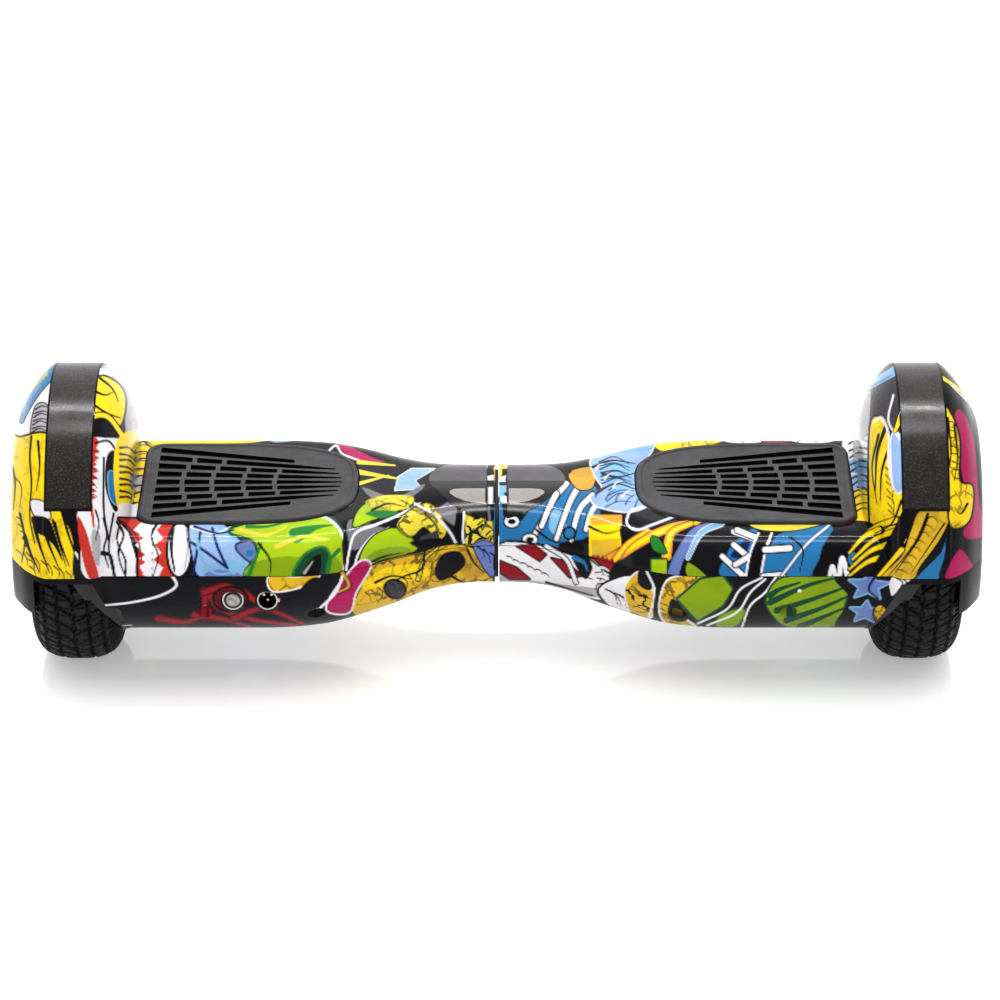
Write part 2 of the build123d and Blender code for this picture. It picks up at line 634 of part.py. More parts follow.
for k in range(9):
    main_board += box((150, 176), (-32 + 7.75 * k, -30 + 7.75 * k), (59, 70))
link_cable = cable([(-86, 0, AXLE_Z), (97.5, 0, AXLE_Z), (97.5, 0, 64)], 3.2, 8)

# ---- Power button and charge socket on the left half -----------------------------------------
shell_low_left = mirror(shell_low, about=Plane.YZ)
bx, bz = BUTTON_AT
cx, cz = SOCKET_AT
for x, z, r in ((bx, bz, 5.2), (cx, cz, 5.8)):
    shell_low_left += plug(x, (FITTING_Y, FITTING_Y + 5), z, POCKET_R + 1.5)
    shell_low_left -= plug(x, (FITTING_Y - 20, FITTING_Y), z, POCKET_R)
    shell_low_left -= plug(x, (FITTING_Y - 1, FITTING_Y + 20), z, r)
bezel = plug(bx, (FITTING_Y - 2, FITTING_Y), bz, BEZEL_R) + plug(bx, (FITTING_Y, FITTING_Y + 12), bz, 5.2)
bezel -= plug(bx, (FITTING_Y - 3, FITTING_Y + 9), bz, BUTTON_R + RUN_CLEARANCE)
bezel -= plug(bx, (FITTING_Y + 8, FITTING_Y + 13), bz, 1.7)
button = plug(bx, (FITTING_Y - 2.6, FITTING_Y + 3), bz, BUTTON_R)
button += plug(bx, (FITTING_Y + 3, FITTING_Y + 10.8), bz, 1.5)
button = chamfer(button.faces().sort_by(Axis.Y)[0].edges(), 0.4)
socket = plug(cx, (FITTING_Y - 2.4, FITTING_Y), cz, SOCKET_R)
socket += plug(cx, (FITTING_Y, FITTING_Y + SOCKET_DEPTH), cz, 5.8)
socket += box((cx + 5, cx + 7.2), (FITTING_Y - 2.4, FITTING_Y), (cz - 1.2, cz + 1.2))
socket -= plug(cx, (FITTING_Y - 3, FITTING_Y + SOCKET_DEPTH - 3), cz, SOCKET_BORE_R)
socket += box((cx + 4.2, cx + 5.2), (FITTING_Y - 1.5, FITTING_Y + 8), (cz - 0.7, cz + 0.7))
pins = []
for px, pz in ((-PIN_CIRCLE, 1.2), (PIN_CIRCLE, 1.2), (0, -2.2)):
    pin = plug(cx + px, (FITTING_Y + 3, FITTING_Y + SOCKET_DEPTH + 3), cz + pz, 0.8)
    socket -= pin
    pins.append(pin)

# ---- Parts to write ------------------------------------------------------------------------
RIGHT = {
    "upper_shell": shell_top,
    "lower_shell": shell_low,
    "indicator_panel": panel,
    "indicator_lens": lens,
    "headlamp_lens": lamp_stock,
    "fender_trim": trim,
    "shell_screws": shell_screws,
    "foot_pad": foot_pad(),
    "sensor_board": sensor_board,
    "frame": frame_right,
    "frame_screws": frame_screws,
    "axle_clamp": clamp,
    "clamp_bolts": clamp_bolts,
    "axle": axle,
    "stator": stator,
    "motor_cable": motor_cable,
    "wheel_rim": rim_shape,
    "magnet_ring": magnets,
    "motor_cover": cover,
    "cover_screws": cover_screws,
    "wheel_bearings": bearings,
    "hub_cap": hub_cap,
    "tyre": tyre(),
}
LEFT_OWN = {"lower_shell": shell_low_left, "frame": frame_left}
SINGLE = {
    "pivot_tube": pivot_tube,
    "pivot_bushes": bushes,
    "pivot_circlip": circlip,
    "stop_pin": stop_pin,
    "centre_seal": centre_seal,
    "battery_pack": battery,
    "battery_strap": strap,
    "main_board": main_board,
    "link_cable": link_cable,
    "power_button": button,
    "button_bezel": bezel,
    "charge_socket": socket,
    "charge_pins": pins,
}


def solids_of(shape):
    """The separate solids of a part or of a list of parts."""
    parts = shape if isinstance(shape, list) else [shape]
    return [solid for part in parts for solid in part.solids()]


def write(name, solids):
    """Write one STEP file holding these solids."""
    export_step(solids[0] if len(solids) == 1 else Compound(children=solids), f"parts/{name}.step")


os.makedirs("parts", exist_ok=True)
for name, shape in RIGHT.items():
    solids = solids_of(shape)
    write(f"{name}_right", solids)
    own = LEFT_OWN.get(name)
    flipped = solids_of(own) if own is not None else [mirror(solid, about=Plane.YZ) for solid in solids]
    write(f"{name}_left", flipped)
for name, shape in SINGLE.items():
    write(name, solids_of(shape))
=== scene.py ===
"""Looks of the two-wheeled balancing board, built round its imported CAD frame.

Shapes are worked out in millimetres and turned to metres as each mesh is made.
X runs from wheel to wheel, -Y is the side with the power button, Z is up.
"""

import json
import math

import bpy
import numpy as np
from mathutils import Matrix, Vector

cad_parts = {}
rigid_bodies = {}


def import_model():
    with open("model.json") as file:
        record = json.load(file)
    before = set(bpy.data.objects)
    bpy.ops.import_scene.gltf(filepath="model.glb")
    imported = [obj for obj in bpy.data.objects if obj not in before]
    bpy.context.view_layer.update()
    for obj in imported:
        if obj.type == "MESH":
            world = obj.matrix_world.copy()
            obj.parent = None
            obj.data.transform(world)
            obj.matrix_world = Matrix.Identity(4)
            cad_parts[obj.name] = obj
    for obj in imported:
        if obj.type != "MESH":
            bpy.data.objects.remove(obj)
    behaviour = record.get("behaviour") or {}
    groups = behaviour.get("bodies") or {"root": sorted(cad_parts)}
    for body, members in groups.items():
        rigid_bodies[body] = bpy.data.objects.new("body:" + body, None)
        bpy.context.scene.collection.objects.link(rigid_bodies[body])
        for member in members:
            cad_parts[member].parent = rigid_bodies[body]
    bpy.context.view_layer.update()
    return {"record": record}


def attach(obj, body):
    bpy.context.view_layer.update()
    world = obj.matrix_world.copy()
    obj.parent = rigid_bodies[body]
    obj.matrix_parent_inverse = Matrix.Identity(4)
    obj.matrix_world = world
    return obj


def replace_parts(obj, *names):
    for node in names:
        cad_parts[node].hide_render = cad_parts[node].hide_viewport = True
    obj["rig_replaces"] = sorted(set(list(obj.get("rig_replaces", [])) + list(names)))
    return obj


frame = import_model()

MM = 0.001
FINE = 0.7  # spacing of the printed skin's points
SIDES = (("left", -1), ("right", 1))

# ---- Shape of the board, the same driving sizes as its CAD -----------------------------------
AXLE_Z = 86.0
HALF_LENGTH = 290.0
FENDER_R = 94.0
WHEEL_X = 253.0
HALF_GAP = 1.2
SEAM_GAP = 0.4
WALL = 3.0
BODY_END = 240.0
CAVITY_END = 215.5
PIVOT_HOLE_R = 19.0

# Half sections (y, z) at the waist and where the body is full, and how far the body has flared at x.
WAIST_UP = ((44, 86), (44, 102), (34, 111), (10, 111))
FULL_UP = ((90, 86), (88, 96), (80, 107), (66, 107))
WAIST_LOW = ((44, 86), (44, 64), (32, 51), (10, 51))
FULL_LOW = ((90, 86), (90, 62), (52, 30), (36, 30))
FLARE_X = (0, 20, 40, 60, 80, 100, 120, 140)
FLARE_SIDE = (0, 0.05, 0.20, 0.43, 0.72, 0.92, 1.00, 1.00)
FLARE_TOP = (0, 0.00, 0.03, 0.28, 0.63, 0.88, 0.98, 1.00)
FLARE_LOW = (0, 0.02, 0.16, 0.44, 0.68, 0.88, 0.97, 1.00)
ROOF_Z = 100.0
ROOF_START_X = 80.0

# Wheel arch: knots (x, radius) of its inner and outer flank, and the well cut out for the wheel.
ARCH_MOUTH_R = 60.0
ARCH_IN_X = 218.5
ARCH_INNER = ((ARCH_IN_X, 50), (220.5, 66), (228.5, 83), (240, FENDER_R))
ARCH_OUTER = ((266.5, FENDER_R), (278, 84), (285.5, 71.5), (HALF_LENGTH, ARCH_MOUTH_R))
WELL_PROFILE = (
    (221.5, 1), (221.5, 66), (225, 75), (231.5, 83), (241, 90.6), (265.5, 90.6),
    (273, 84.8), (278, 79.5), (282.5, 71), (286.8, 60), (295, 60), (295, 1),
)
ARCH_SLANT = ((253, 86), (224, 30))  # (x, z) where the lower body ends beside the tyre
ARCH_LOW = ((94, 86), (94, 62), (54, 30), (36, 30))  # half section (y, z) of the arch's foot there
ARCH_LIP = (275.0, 58.0)  # (x, z) of the lip outside the tyre
ARCH_BRIDGE_Z = 82.4  # underside of the strip that joins foot and lip
TRIM_X = (240.0, 266.5)
TRIM_R = (92.5, 93.7)
TRIM_END_Z = 127.0

# Foot pad: its rounded end as (x, y, degrees its edge has turned), its recess and its layers.
PAD_X = (84.0, 215.0)
PAD_HALF = 61.0
PAD_CORNER = 12.0
PAD_NOSE = ((84.6, 18, 6), (88.2, 33, 27), (96, 44, 50), (111, 53.5, 68), (140, 60, 85))
PAD_RECESS_Z = 103.2
PAD_GAP = 0.6
PAD_RINGS = (  # growth of the outline, z
    (-0.4, 105.5), (0, 105.9), (0, 108.0), (-0.25, 108.7), (-0.8, 109.25),
    (-1.5, 109.5), (-3.0, 109.5), (-3.6, 109.2), (-3.9, 108.75),
)
PAD_RIBS = ((191, 48, 11), (173, 38, 8.5), (154, 28, 5.5), (135, 19, 3))  # middle x, half span, bow
RIB_HALF = 1.4
SLOT_SIDE_LINES = 4  # lines of slots on each side of the middle one
SLOT_SPREAD = ((205, 12.6), (100, 6.8))  # x, distance between the lines there
SLOT_ENDS = (206.5, 94.0)
SLOT_Z = (106.6, 112)

# Fittings.
PANEL_EDGE = ((6, 39.3), (13.4, 38), (21.3, 35), (28.6, 29.5), (34.6, 20), (40.4, 8), (41.4, 0))
PANEL_CUT_Z = (92, 125)
LENS_EDGE = (
    (6.8, -14.6), (20, -14.6), (26, -15.4), (28.8, -18), (28.6, -21),
    (25, -25.4), (19, -28.8), (12, -30.4), (6.8, -30.9),
)
LAMP_X = (112.0, 158.0)
LAMP_Z = (66.0, 77.0)
LAMP_CORNER = 4.5
BUTTON_AT = (-157.0, 67.5)
BUTTON_HOLE_R = 5.2
SOCKET_AT = (-136.5, 67.5)
SOCKET_HOLE_R = 5.8
FITTING_Y = -81.0
POCKET_R = 7.4
WELL_SCREWS = ((174.0, 76.0), (108.0, 71.0))
SCREW_WELL_R = 5.0
SCREW_SEAT_Z = 66.0

# Tyre: a turned carcass (x, radius) whose skin is pushed in along the tread's grooves.
TYRE_PROFILE = (
    (22, 58.3), (24.6, 60.5), (26.3, 64), (26.4, 69), (25.4, 73.5),
    (23.4, 77.6), (20.4, 81.2), (15, 84.2), (8, 85.7), (0, 86),
)
TYRE_BEAD = ((-21, 58.1), (-10, 58.1), (10, 58.1), (21, 58.1))
TYRE_STEP = 0.9
TYRE_TURNS = 1100
TREAD_PITCHES = 44
SHOULDER_PITCHES = 120
TREAD_DEPTH = 2.0
TREAD_INNER_R = 60.0
TREAD_HALF = 21.5


# ---- Curves ----------------------------------------------------------------------------------
def hermite(s, a, b, slope_a, slope_b):
    """Cubic from a to b with the given slopes, at s of 0..1."""
    start = (2 * s**3 - 3 * s**2 + 1) * a + (s**3 - 2 * s**2 + s) * slope_a
    return start + (3 * s**2 - 2 * s**3) * b + (s**3 - s**2) * slope_b


def curve_through(knots, step, start_dir, end_dir, parts=None):
    """Smooth open curve through 2D points, with the given directions at its ends.
    Its points are about step apart, or there are that many parts to each segment."""
    p = np.asarray(knots, float)
    chord = np.linalg.norm(np.diff(p, axis=0), axis=1)
    slope = np.gradient(p, np.concatenate([[0], np.cumsum(chord)]), axis=0)
    for end, direction in ((0, start_dir), (-1, end_dir)):
        slope[end] = np.array(direction, float) / np.linalg.norm(direction)
    out = [p[:1]]
    for k, length in enumerate(chord):
        s = np.linspace(0, 1, (parts or max(2, int(length / step))) + 1)[1:, None]
        out.append(hermite(s, p[k], p[k + 1], length * slope[k], length * slope[k + 1]))
    return np.concatenate(out)


def smooth_table(x, xs, ys):
    """Cubic through a table of values, without overshoot."""
    xs, ys = np.asarray(xs, float), np.asarray(ys, float)
    rise = np.diff(ys) / np.diff(xs)
    slope = np.zeros(len(xs))
    slope[1:-1] = np.where(rise[1:] * rise[:-1] > 0, (rise[1:] + rise[:-1]) / 2, 0)
    x = np.clip(x, xs[0], xs[-1])
    k = np.clip(np.searchsorted(xs, x, side="right") - 1, 0, len(xs) - 2)
    h = xs[k + 1] - xs[k]
    return hermite((x - xs[k]) / h, ys[k], ys[k + 1], h * slope[k], h * slope[k + 1])


def smoothstep(x, low, high):
    """0 below low, 1 above high, and a smooth rise between."""
    t = np.clip((x - low) / (high - low), 0, 1)
    return t * t * (3 - 2 * t)


def rounded_rectangle(x0, x1, z0, z1, r):
    """Outline with round corners."""
    out = []
    corners = ((x1 - r, z1 - r, 0), (x0 + r, z1 - r, 90), (x0 + r, z0 + r, 180), (x1 - r, z0 + r, 270))
    for cx, cz, start in corners:
        for a in np.radians(np.linspace(start, start + 90, 8)):
            out.append((cx + r * math.cos(a), cz + r * math.sin(a)))
    return out


# ---- Mesh helpers ----------------------------------------------------------------------------
def place_object(name, data):
    """New object in the scene."""
    obj = bpy.data.objects.new(name, data)
    bpy.context.scene.collection.objects.link(obj)
    return obj


def new_object(name, verts, faces):
    """Object from points in mm."""
    mesh = bpy.data.meshes.new(name)
    mesh.from_pydata((np.asarray(verts, float) * MM).tolist(), [], faces)
    mesh.validate()
    return place_object(name, mesh)


def read(items, key, kind, width=1):
    """One property of all of a mesh's items, as an array."""
    values = np.empty(len(items) * width, kind)
    items.foreach_get(key, values)
    return values.reshape(-1, width) if width > 1 else values


def points(obj):
    """A mesh's points in mm."""
    return read(obj.data.vertices, "co", np.float32, 3).astype(float) / MM


def outward(obj):
    """Turns the faces of a closed mesh outward, by the sign of its volume."""
    obj.data.calc_loop_triangles()
    p = points(obj)[read(obj.data.loop_triangles, "vertices", np.int32, 3)]
    if np.einsum("ij,ij->i", p[:, 0], np.cross(p[:, 1], p[:, 2])).sum() < 0:
        obj.data.flip_normals()
    return obj


def rings_to_solid(name, rings, closed=False):
    """Closed solid from rings of equal length. Open ends are capped."""
    rings = np.asarray(rings, float)
    count, size = rings.shape[:2]
    i = np.arange(count if closed else count - 1)[:, None]
    j = np.arange(size)[None, :]
    here, ahead = i * size, ((i + 1) % count) * size
    beside = (j + 1) % size
    faces = np.stack([here + j, here + beside, ahead + beside, ahead + j], axis=-1).reshape(-1, 4).tolist()
    if not closed:
        faces.append(list(range(size))[::-1])
        faces.append(list(range((count - 1) * size, count * size)))
    return outward(new_object(name, rings.reshape(-1, 3), faces))


def combine(obj, other, operation):
    """Boolean of two closed meshes, left in obj. Walls that a plain cutter leaves are bare plastic."""
    if not other.data.materials:
        other.data.materials.append(MATERIALS["bare_shell"])
    mod = obj.modifiers.new("cut", "BOOLEAN")
    mod.operation = operation
    mod.solver = "MANIFOLD"
    mod.material_mode = "TRANSFER"
    mod.object = other
    mesh = bpy.data.meshes.new_from_object(obj.evaluated_get(bpy.context.evaluated_depsgraph_get()))
    obj.modifiers.clear()
    old = obj.data
    obj.data = mesh
    bpy.data.meshes.remove(old)
    bpy.data.objects.remove(other)
    if len(mesh.vertices) == 0:
        raise RuntimeError(f"{obj.name}: boolean left nothing")


def cut(obj, cutter):
    """Takes cutter out of obj."""
    combine(obj, cutter, "DIFFERENCE")


def skinned(obj):
    """Marks a solid's faces as printed."""
    obj.data.materials.append(MATERIALS["printed_shell"])
    return obj


def block(x, y, z):
    """Cutter block between two corners."""
    ring = [(y[0], z[0]), (y[1], z[0]), (y[1], z[1]), (y[0], z[1])]
    return rings_to_solid("block", [[(px, *p) for p in ring] for px in x])


def cylinder(start, end, r, steps=48):
    """Cutter cylinder between two points along X, Y or Z."""
    start, end = np.array(start, float), np.array(end, float)
    along = (end - start) / np.linalg.norm(end - start)
    u = np.roll(np.abs(along), 1)
    v = np.cross(along, u)
    angles = np.linspace(0, 2 * np.pi, steps, endpoint=False)
    ring = r * (np.cos(angles)[:, None] * u + np.sin(angles)[:, None] * v)
    return rings_to_solid("cylinder", [ring + start, ring + end])


def prism(outline, z):
    """Cutter prism over a plan outline."""
    return rings_to_solid("prism", [[(px, py, pz) for px, py in outline] for pz in z])


def side_prism(outline, y):
    """Cutter prism along Y over an (x, z) outline."""
    return rings_to_solid("prism", [[(px, py, pz) for px, pz in outline] for py in y])


def turned(name, profile, start=0.0, end=360.0, step=4.0):
    """Solid turned about the axle from a closed (x, radius) profile. Angle 0 is at the -Y side."""
    x, r = np.asarray(profile, float).T
    full = end - start >= 360
    count = int(math.radians(end - start) * r.max() / step) + 2
    angles = np.radians(np.linspace(start, end, count, endpoint=not full))
    rings = [np.stack([x, -r * np.cos(a), AXLE_Z + r * np.sin(a)], axis=1) for a in angles]
    return rings_to_solid(name, rings, closed=full)


def mirrored(obj, side):
    """Moves a right-hand mesh to its own side."""
    if side < 0:
        co = points(obj) * (-1, 1, 1)
        obj.data.vertices.foreach_set("co", (co * MM).ravel().astype(np.float32))
        obj.data.flip_normals()


def finish_piece(obj, name, body, node, materials, sharp):
    """Names, shades and hands over one piece. Its faces keep their place in the list of materials."""
    mesh = obj.data
    obj.name = mesh.name = name
    mesh.polygons.foreach_set("use_smooth", [True] * len(mesh.polygons))
    mesh.set_sharp_from_angle(angle=math.radians(sharp))
    place = read(mesh.polygons, "material_index", np.int32)
    mesh.materials.clear()
    for material in materials:
        mesh.materials.append(MATERIALS[material])
    mesh.polygons.foreach_set("material_index", np.minimum(place, len(materials) - 1))
    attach(obj, body)
    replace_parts(obj, node)


# ---- Body and arch solids --------------------------------------------------------------------
def half_outline(x, upper):
    """Control points of half a section at x."""
    waist, full = (WAIST_UP, FULL_UP) if upper else (WAIST_LOW, FULL_LOW)
    side = smooth_table(x, FLARE_X, FLARE_SIDE)
    flat = smooth_table(x, FLARE_X, FLARE_TOP if upper else FLARE_LOW)
    weights = (side, side, flat, flat)
    return [np.array(a) + (np.array(b) - np.array(a)) * t for a, b, t in zip(waist, full, weights)]


def level(start, end, z, count):
    """Points between two y at one height, without the ends."""
    y = np.linspace(start, end, count)[1:-1]
    return np.stack([y, np.full_like(y, z)], axis=1)


def section_ring(x, half, side_count, flat_count):
    """Closed ring at x: up one side, over the flat, down the other and back along the seam."""
    p0, p1, p2, p3 = (np.array(p, float) for p in half)
    t = np.linspace(0, 1, side_count)[:, None]
    side = (1 - t) ** 3 * p0 + 3 * (1 - t) ** 2 * t * p1 + 3 * (1 - t) * t**2 * p2 + t**3 * p3
    flat = level(p3[0], -p3[0], p3[1], flat_count)
    back = level(-p0[0], p0[0], p0[1], 10)
    ring = np.concatenate([side, flat, side[::-1] * (-1, 1), back])
    return np.column_stack([np.full(len(ring), x), ring])


def body_solid(upper, end=BODY_END):
    """Outside of the right half's upper or lower body."""
    side_count = int((40 if upper else 90) / FINE)
    flat_count = int((132 if upper else 40) / FINE)
    xs = np.linspace(HALF_GAP, end, int((end - HALF_GAP) / FINE))
    rings = np.array([section_ring(x, half_outline(x, upper), side_count, flat_count) for x in xs])
    if not upper:
        rings[:, :, 2] = np.minimum(rings[:, :, 2], AXLE_Z - SEAM_GAP)
    return rings_to_solid("body", rings)


def cavity_solid(upper):
    """Space inside that body. It goes 2 mm past the seam."""
    rings = []
    for x in (HALF_GAP + WALL, *FLARE_X[1:], CAVITY_END):
        p0, p1, p2, p3 = half_outline(x, upper)
        if upper:
            flat = ROOF_Z if x >= ROOF_START_X else p3[1] - WALL
            p1 = (p1[0], p0[1] + (p1[1] - p0[1]) * 0.7)
        else:
            flat = p3[1] + WALL
        half = ((p0[0] - WALL, p0[1]), (p1[0] - WALL, p1[1]), (p2[0] - WALL - 1, flat), (p3[0] - 2, flat))
        ring = section_ring(x, half, 10, 6)
        ring[ring[:, 2] == AXLE_Z, 2] += -2 if upper else 2
        rings.append(ring)
    return rings_to_solid("cavity", rings)


def arch_profile(step):
    """Outer profile of the wheel arch, closed near the axle line."""
    start, end = ARCH_INNER[-1][0], ARCH_OUTER[0][0]
    wall = [(ARCH_IN_X, r) for r in np.linspace(2, 50, int(48 / step) + 2)[:-1]]
    inner = curve_through(ARCH_INNER, step, (0, 1), (1, 0.3))
    flat = [(x, FENDER_R) for x in np.linspace(start, end, int((end - start) / step) + 2)[1:]]
    outer = curve_through(ARCH_OUTER, step, (1, -0.3), (0.15, -1))
    return np.concatenate([wall, inner, flat, outer[1:], [(HALF_LENGTH, 2)]])


def pad_outline(grow):
    """Plan outline of the pad, grown all round."""
    knots = [(PAD_X[0] - grow, 0)]
    for x, y, lean in PAD_NOSE:
        a = math.radians(lean)
        knots.append((x - grow * math.cos(a), y + grow * math.sin(a)))
    nose = curve_through(knots, 1.5, (0, 1), (1, 0.12), parts=12)
    half, corner, outer = PAD_HALF + grow, PAD_CORNER + grow, PAD_X[1] + grow
    x, y = outer - corner, half - corner
    angles = np.radians(np.linspace(90, 0, 10))
    round_corner = [(x + corner * math.cos(a), y + corner * math.sin(a)) for a in angles]
    side = np.concatenate([nose, [(PAD_NOSE[-1][0] + 9, half)], round_corner])
    return np.concatenate([side, side[:0:-1] * (1, -1)])


def panel_outline():
    """Plan outline of the shield-shaped indicator panel."""
    side = curve_through(PANEL_EDGE, 1.0, (1, -0.1), (0, -1))
    return np.concatenate([side, side[-2::-1] * (1, -1)])


def pivot_hole():
    return cylinder((-1, 0, AXLE_Z), (HALF_GAP + WALL + 1, 0, AXLE_Z), PIVOT_HOLE_R)


def upper_shell():
    """Right upper shell with its arch, before the print."""
    shell = skinned(body_solid(True))
    combine(shell, skinned(turned("arch", arch_profile(FINE), 0, 180, FINE)), "UNION")
    cut(shell, cavity_solid(True))
    cut(shell, turned("well", WELL_PROFILE))
    groove = [(TRIM_X[0], TRIM_R[0]), (TRIM_X[1], TRIM_R[0]), (TRIM_X[1], 97), (TRIM_X[0], 97)]
    trim_end = math.degrees(math.asin((TRIM_END_Z - AXLE_Z) / TRIM_R[1]))
    cut(shell, turned("groove", groove, trim_end, 180 - trim_end, 1.5))
    cut(shell, prism(pad_outline(PAD_GAP), (PAD_RECESS_Z, 130)))
    cut(shell, prism(panel_outline(), PANEL_CUT_Z))
    cut(shell, pivot_hole())
    return shell


def lower_arch():
    """Lower part of the right wheel arch: its inner foot, its outer lip and the bridge above them."""
    deep = (-120, 120)
    arch = skinned(turned("arch", arch_profile(FINE), 180, 360, FINE))
    combine(arch, block((200, 300), deep, (-50, AXLE_Z - SEAM_GAP)), "INTERSECT")
    kept = side_prism([(217, 86), *ARCH_SLANT, (217, 30)], deep)
    foot = [section_ring(x, ARCH_LOW, 60, 8) for x in (216.8, 258)]
    combine(kept, rings_to_solid("foot", foot), "INTERSECT")
    combine(kept, block((ARCH_LIP[0], 300), deep, (ARCH_LIP[1], 90)), "UNION")
    combine(kept, block((216.5, 300.5), (-121, 121), (ARCH_BRIDGE_Z, 91)), "UNION")
    combine(arch, kept, "INTERSECT")
    return arch


def lower_shell(side):
    """Right lower shell, or for side -1 the left one with its two pockets, before the print."""
    shell = skinned(body_solid(False))
    cut(shell, side_prism([*ARCH_SLANT, (224, 0), (300, 0), (300, 90), (253, 90)], (-120, 120)))
    combine(shell, lower_arch(), "UNION")
    cut(shell, cavity_solid(False))
    cut(shell, turned("well", WELL_PROFILE))
    for x, half in WELL_SCREWS:
        for y in (-half, half):
            boss = cylinder((x, y, 48), (x, y, AXLE_Z - SEAM_GAP - 0.2), SCREW_WELL_R + 2)
            combine(boss, body_solid(False), "INTERSECT")
            combine(shell, boss, "UNION")
            cut(shell, skinned(cylinder((x, y, 0), (x, y, SCREW_SEAT_Z), SCREW_WELL_R, 64)))
    cut(shell, side_prism(rounded_rectangle(*LAMP_X, *LAMP_Z, LAMP_CORNER), (40, 120)))
    cut(shell, pivot_hole())
    if side < 0:
        for (x, z), r in ((BUTTON_AT, BUTTON_HOLE_R), (SOCKET_AT, SOCKET_HOLE_R)):
            floor = (-x, FITTING_Y, z)
            combine(shell, cylinder(floor, (-x, FITTING_Y + 5, z), POCKET_R + 1.5, 64), "UNION")
            cut(shell, cylinder((-x, FITTING_Y - 20, z), floor, POCKET_R, 64))
            cut(shell, cylinder((-x, FITTING_Y - 1, z), (-x, FITTING_Y + 20, z), r))
    return shell


# ---- Print -----------------------------------------------------------------------------------
# The print is abstract: colour patches, ink lines and brush strokes. Its shapes are placed in the
# front view (x along the board, v up), in mm, as seen from TILT above the horizon.
TILT = math.radians(23)
EYE_DISTANCE = 3200.0
SOFT = 0.8 * FINE  # width over which one colour turns to the next
SPLINE_STEPS = 5

COLOURS = {
    "ink": (0.003, 0.003, 0.004),
    "char": (0.006, 0.0055, 0.008),
    "dark": (0.045, 0.042, 0.048),
    "grey": (0.15, 0.145, 0.16),
    "ash": (0.33, 0.32, 0.33),
    "white": (0.61, 0.60, 0.62),
    "yellow": (0.72, 0.52, 0.008),
    "lemon": (0.55, 0.46, 0.045),
    "gold": (0.54, 0.35, 0.02),
    "ochre": (0.42, 0.25, 0.03),
    "orange": (0.72, 0.29, 0.03),
    "red": (0.44, 0.036, 0.026),
    "maroon": (0.09, 0.005, 0.010),
    "wine": (0.22, 0.008, 0.016),
    "blood": (0.27, 0.010, 0.018),
    "magenta": (0.32, 0.008, 0.085),
    "lime": (0.30, 0.42, 0.008),
    "leaf": (0.19, 0.28, 0.006),
    "green": (0.02, 0.17, 0.03),
    "pine": (0.006, 0.06, 0.025),
    "blue": (0.02, 0.145, 0.31),
    "sky": (0.17, 0.34, 0.50),
    "mist": (0.24, 0.35, 0.56),
    "lavender": (0.12, 0.165, 0.36),
    "navy": (0.008, 0.014, 0.08),
}


def spline(pts, closed=True):
    """Smooth line through a few points."""
    p = np.asarray(pts, float)
    before = np.roll(p, 1, 0) if closed else np.vstack([2 * p[0] - p[1], p[:-1]])
    after = np.roll(p, -1, 0) if closed else np.vstack([p[1:], 2 * p[-1] - p[-2]])
    slope = (after - before) / 2
    s = (np.arange(SPLINE_STEPS) / SPLINE_STEPS)[:, None]
    segments = range(len(p) if closed else len(p) - 1)
    out = [hermite(s, p[k], p[(k + 1) % len(p)], slope[k], slope[(k + 1) % len(p)]) for k in segments]
    return np.concatenate(out if closed else [*out, p[-1:]])


def saw(start, end, depth, count):
    """Points of a toothed edge from start to end, its teeth reaching depth to the left."""
    start, end = np.array(start, float), np.array(end, float)
    run = (end - start) / count
    left = np.array([-run[1], run[0]]) / np.linalg.norm(run) * depth
    tips = [start + run * (k + 0.5) + left * (1 if k % 3 else 0.6) for k in range(count)]
    return [p for k in range(count) for p in (start + run * k, tips[k])] + [end]


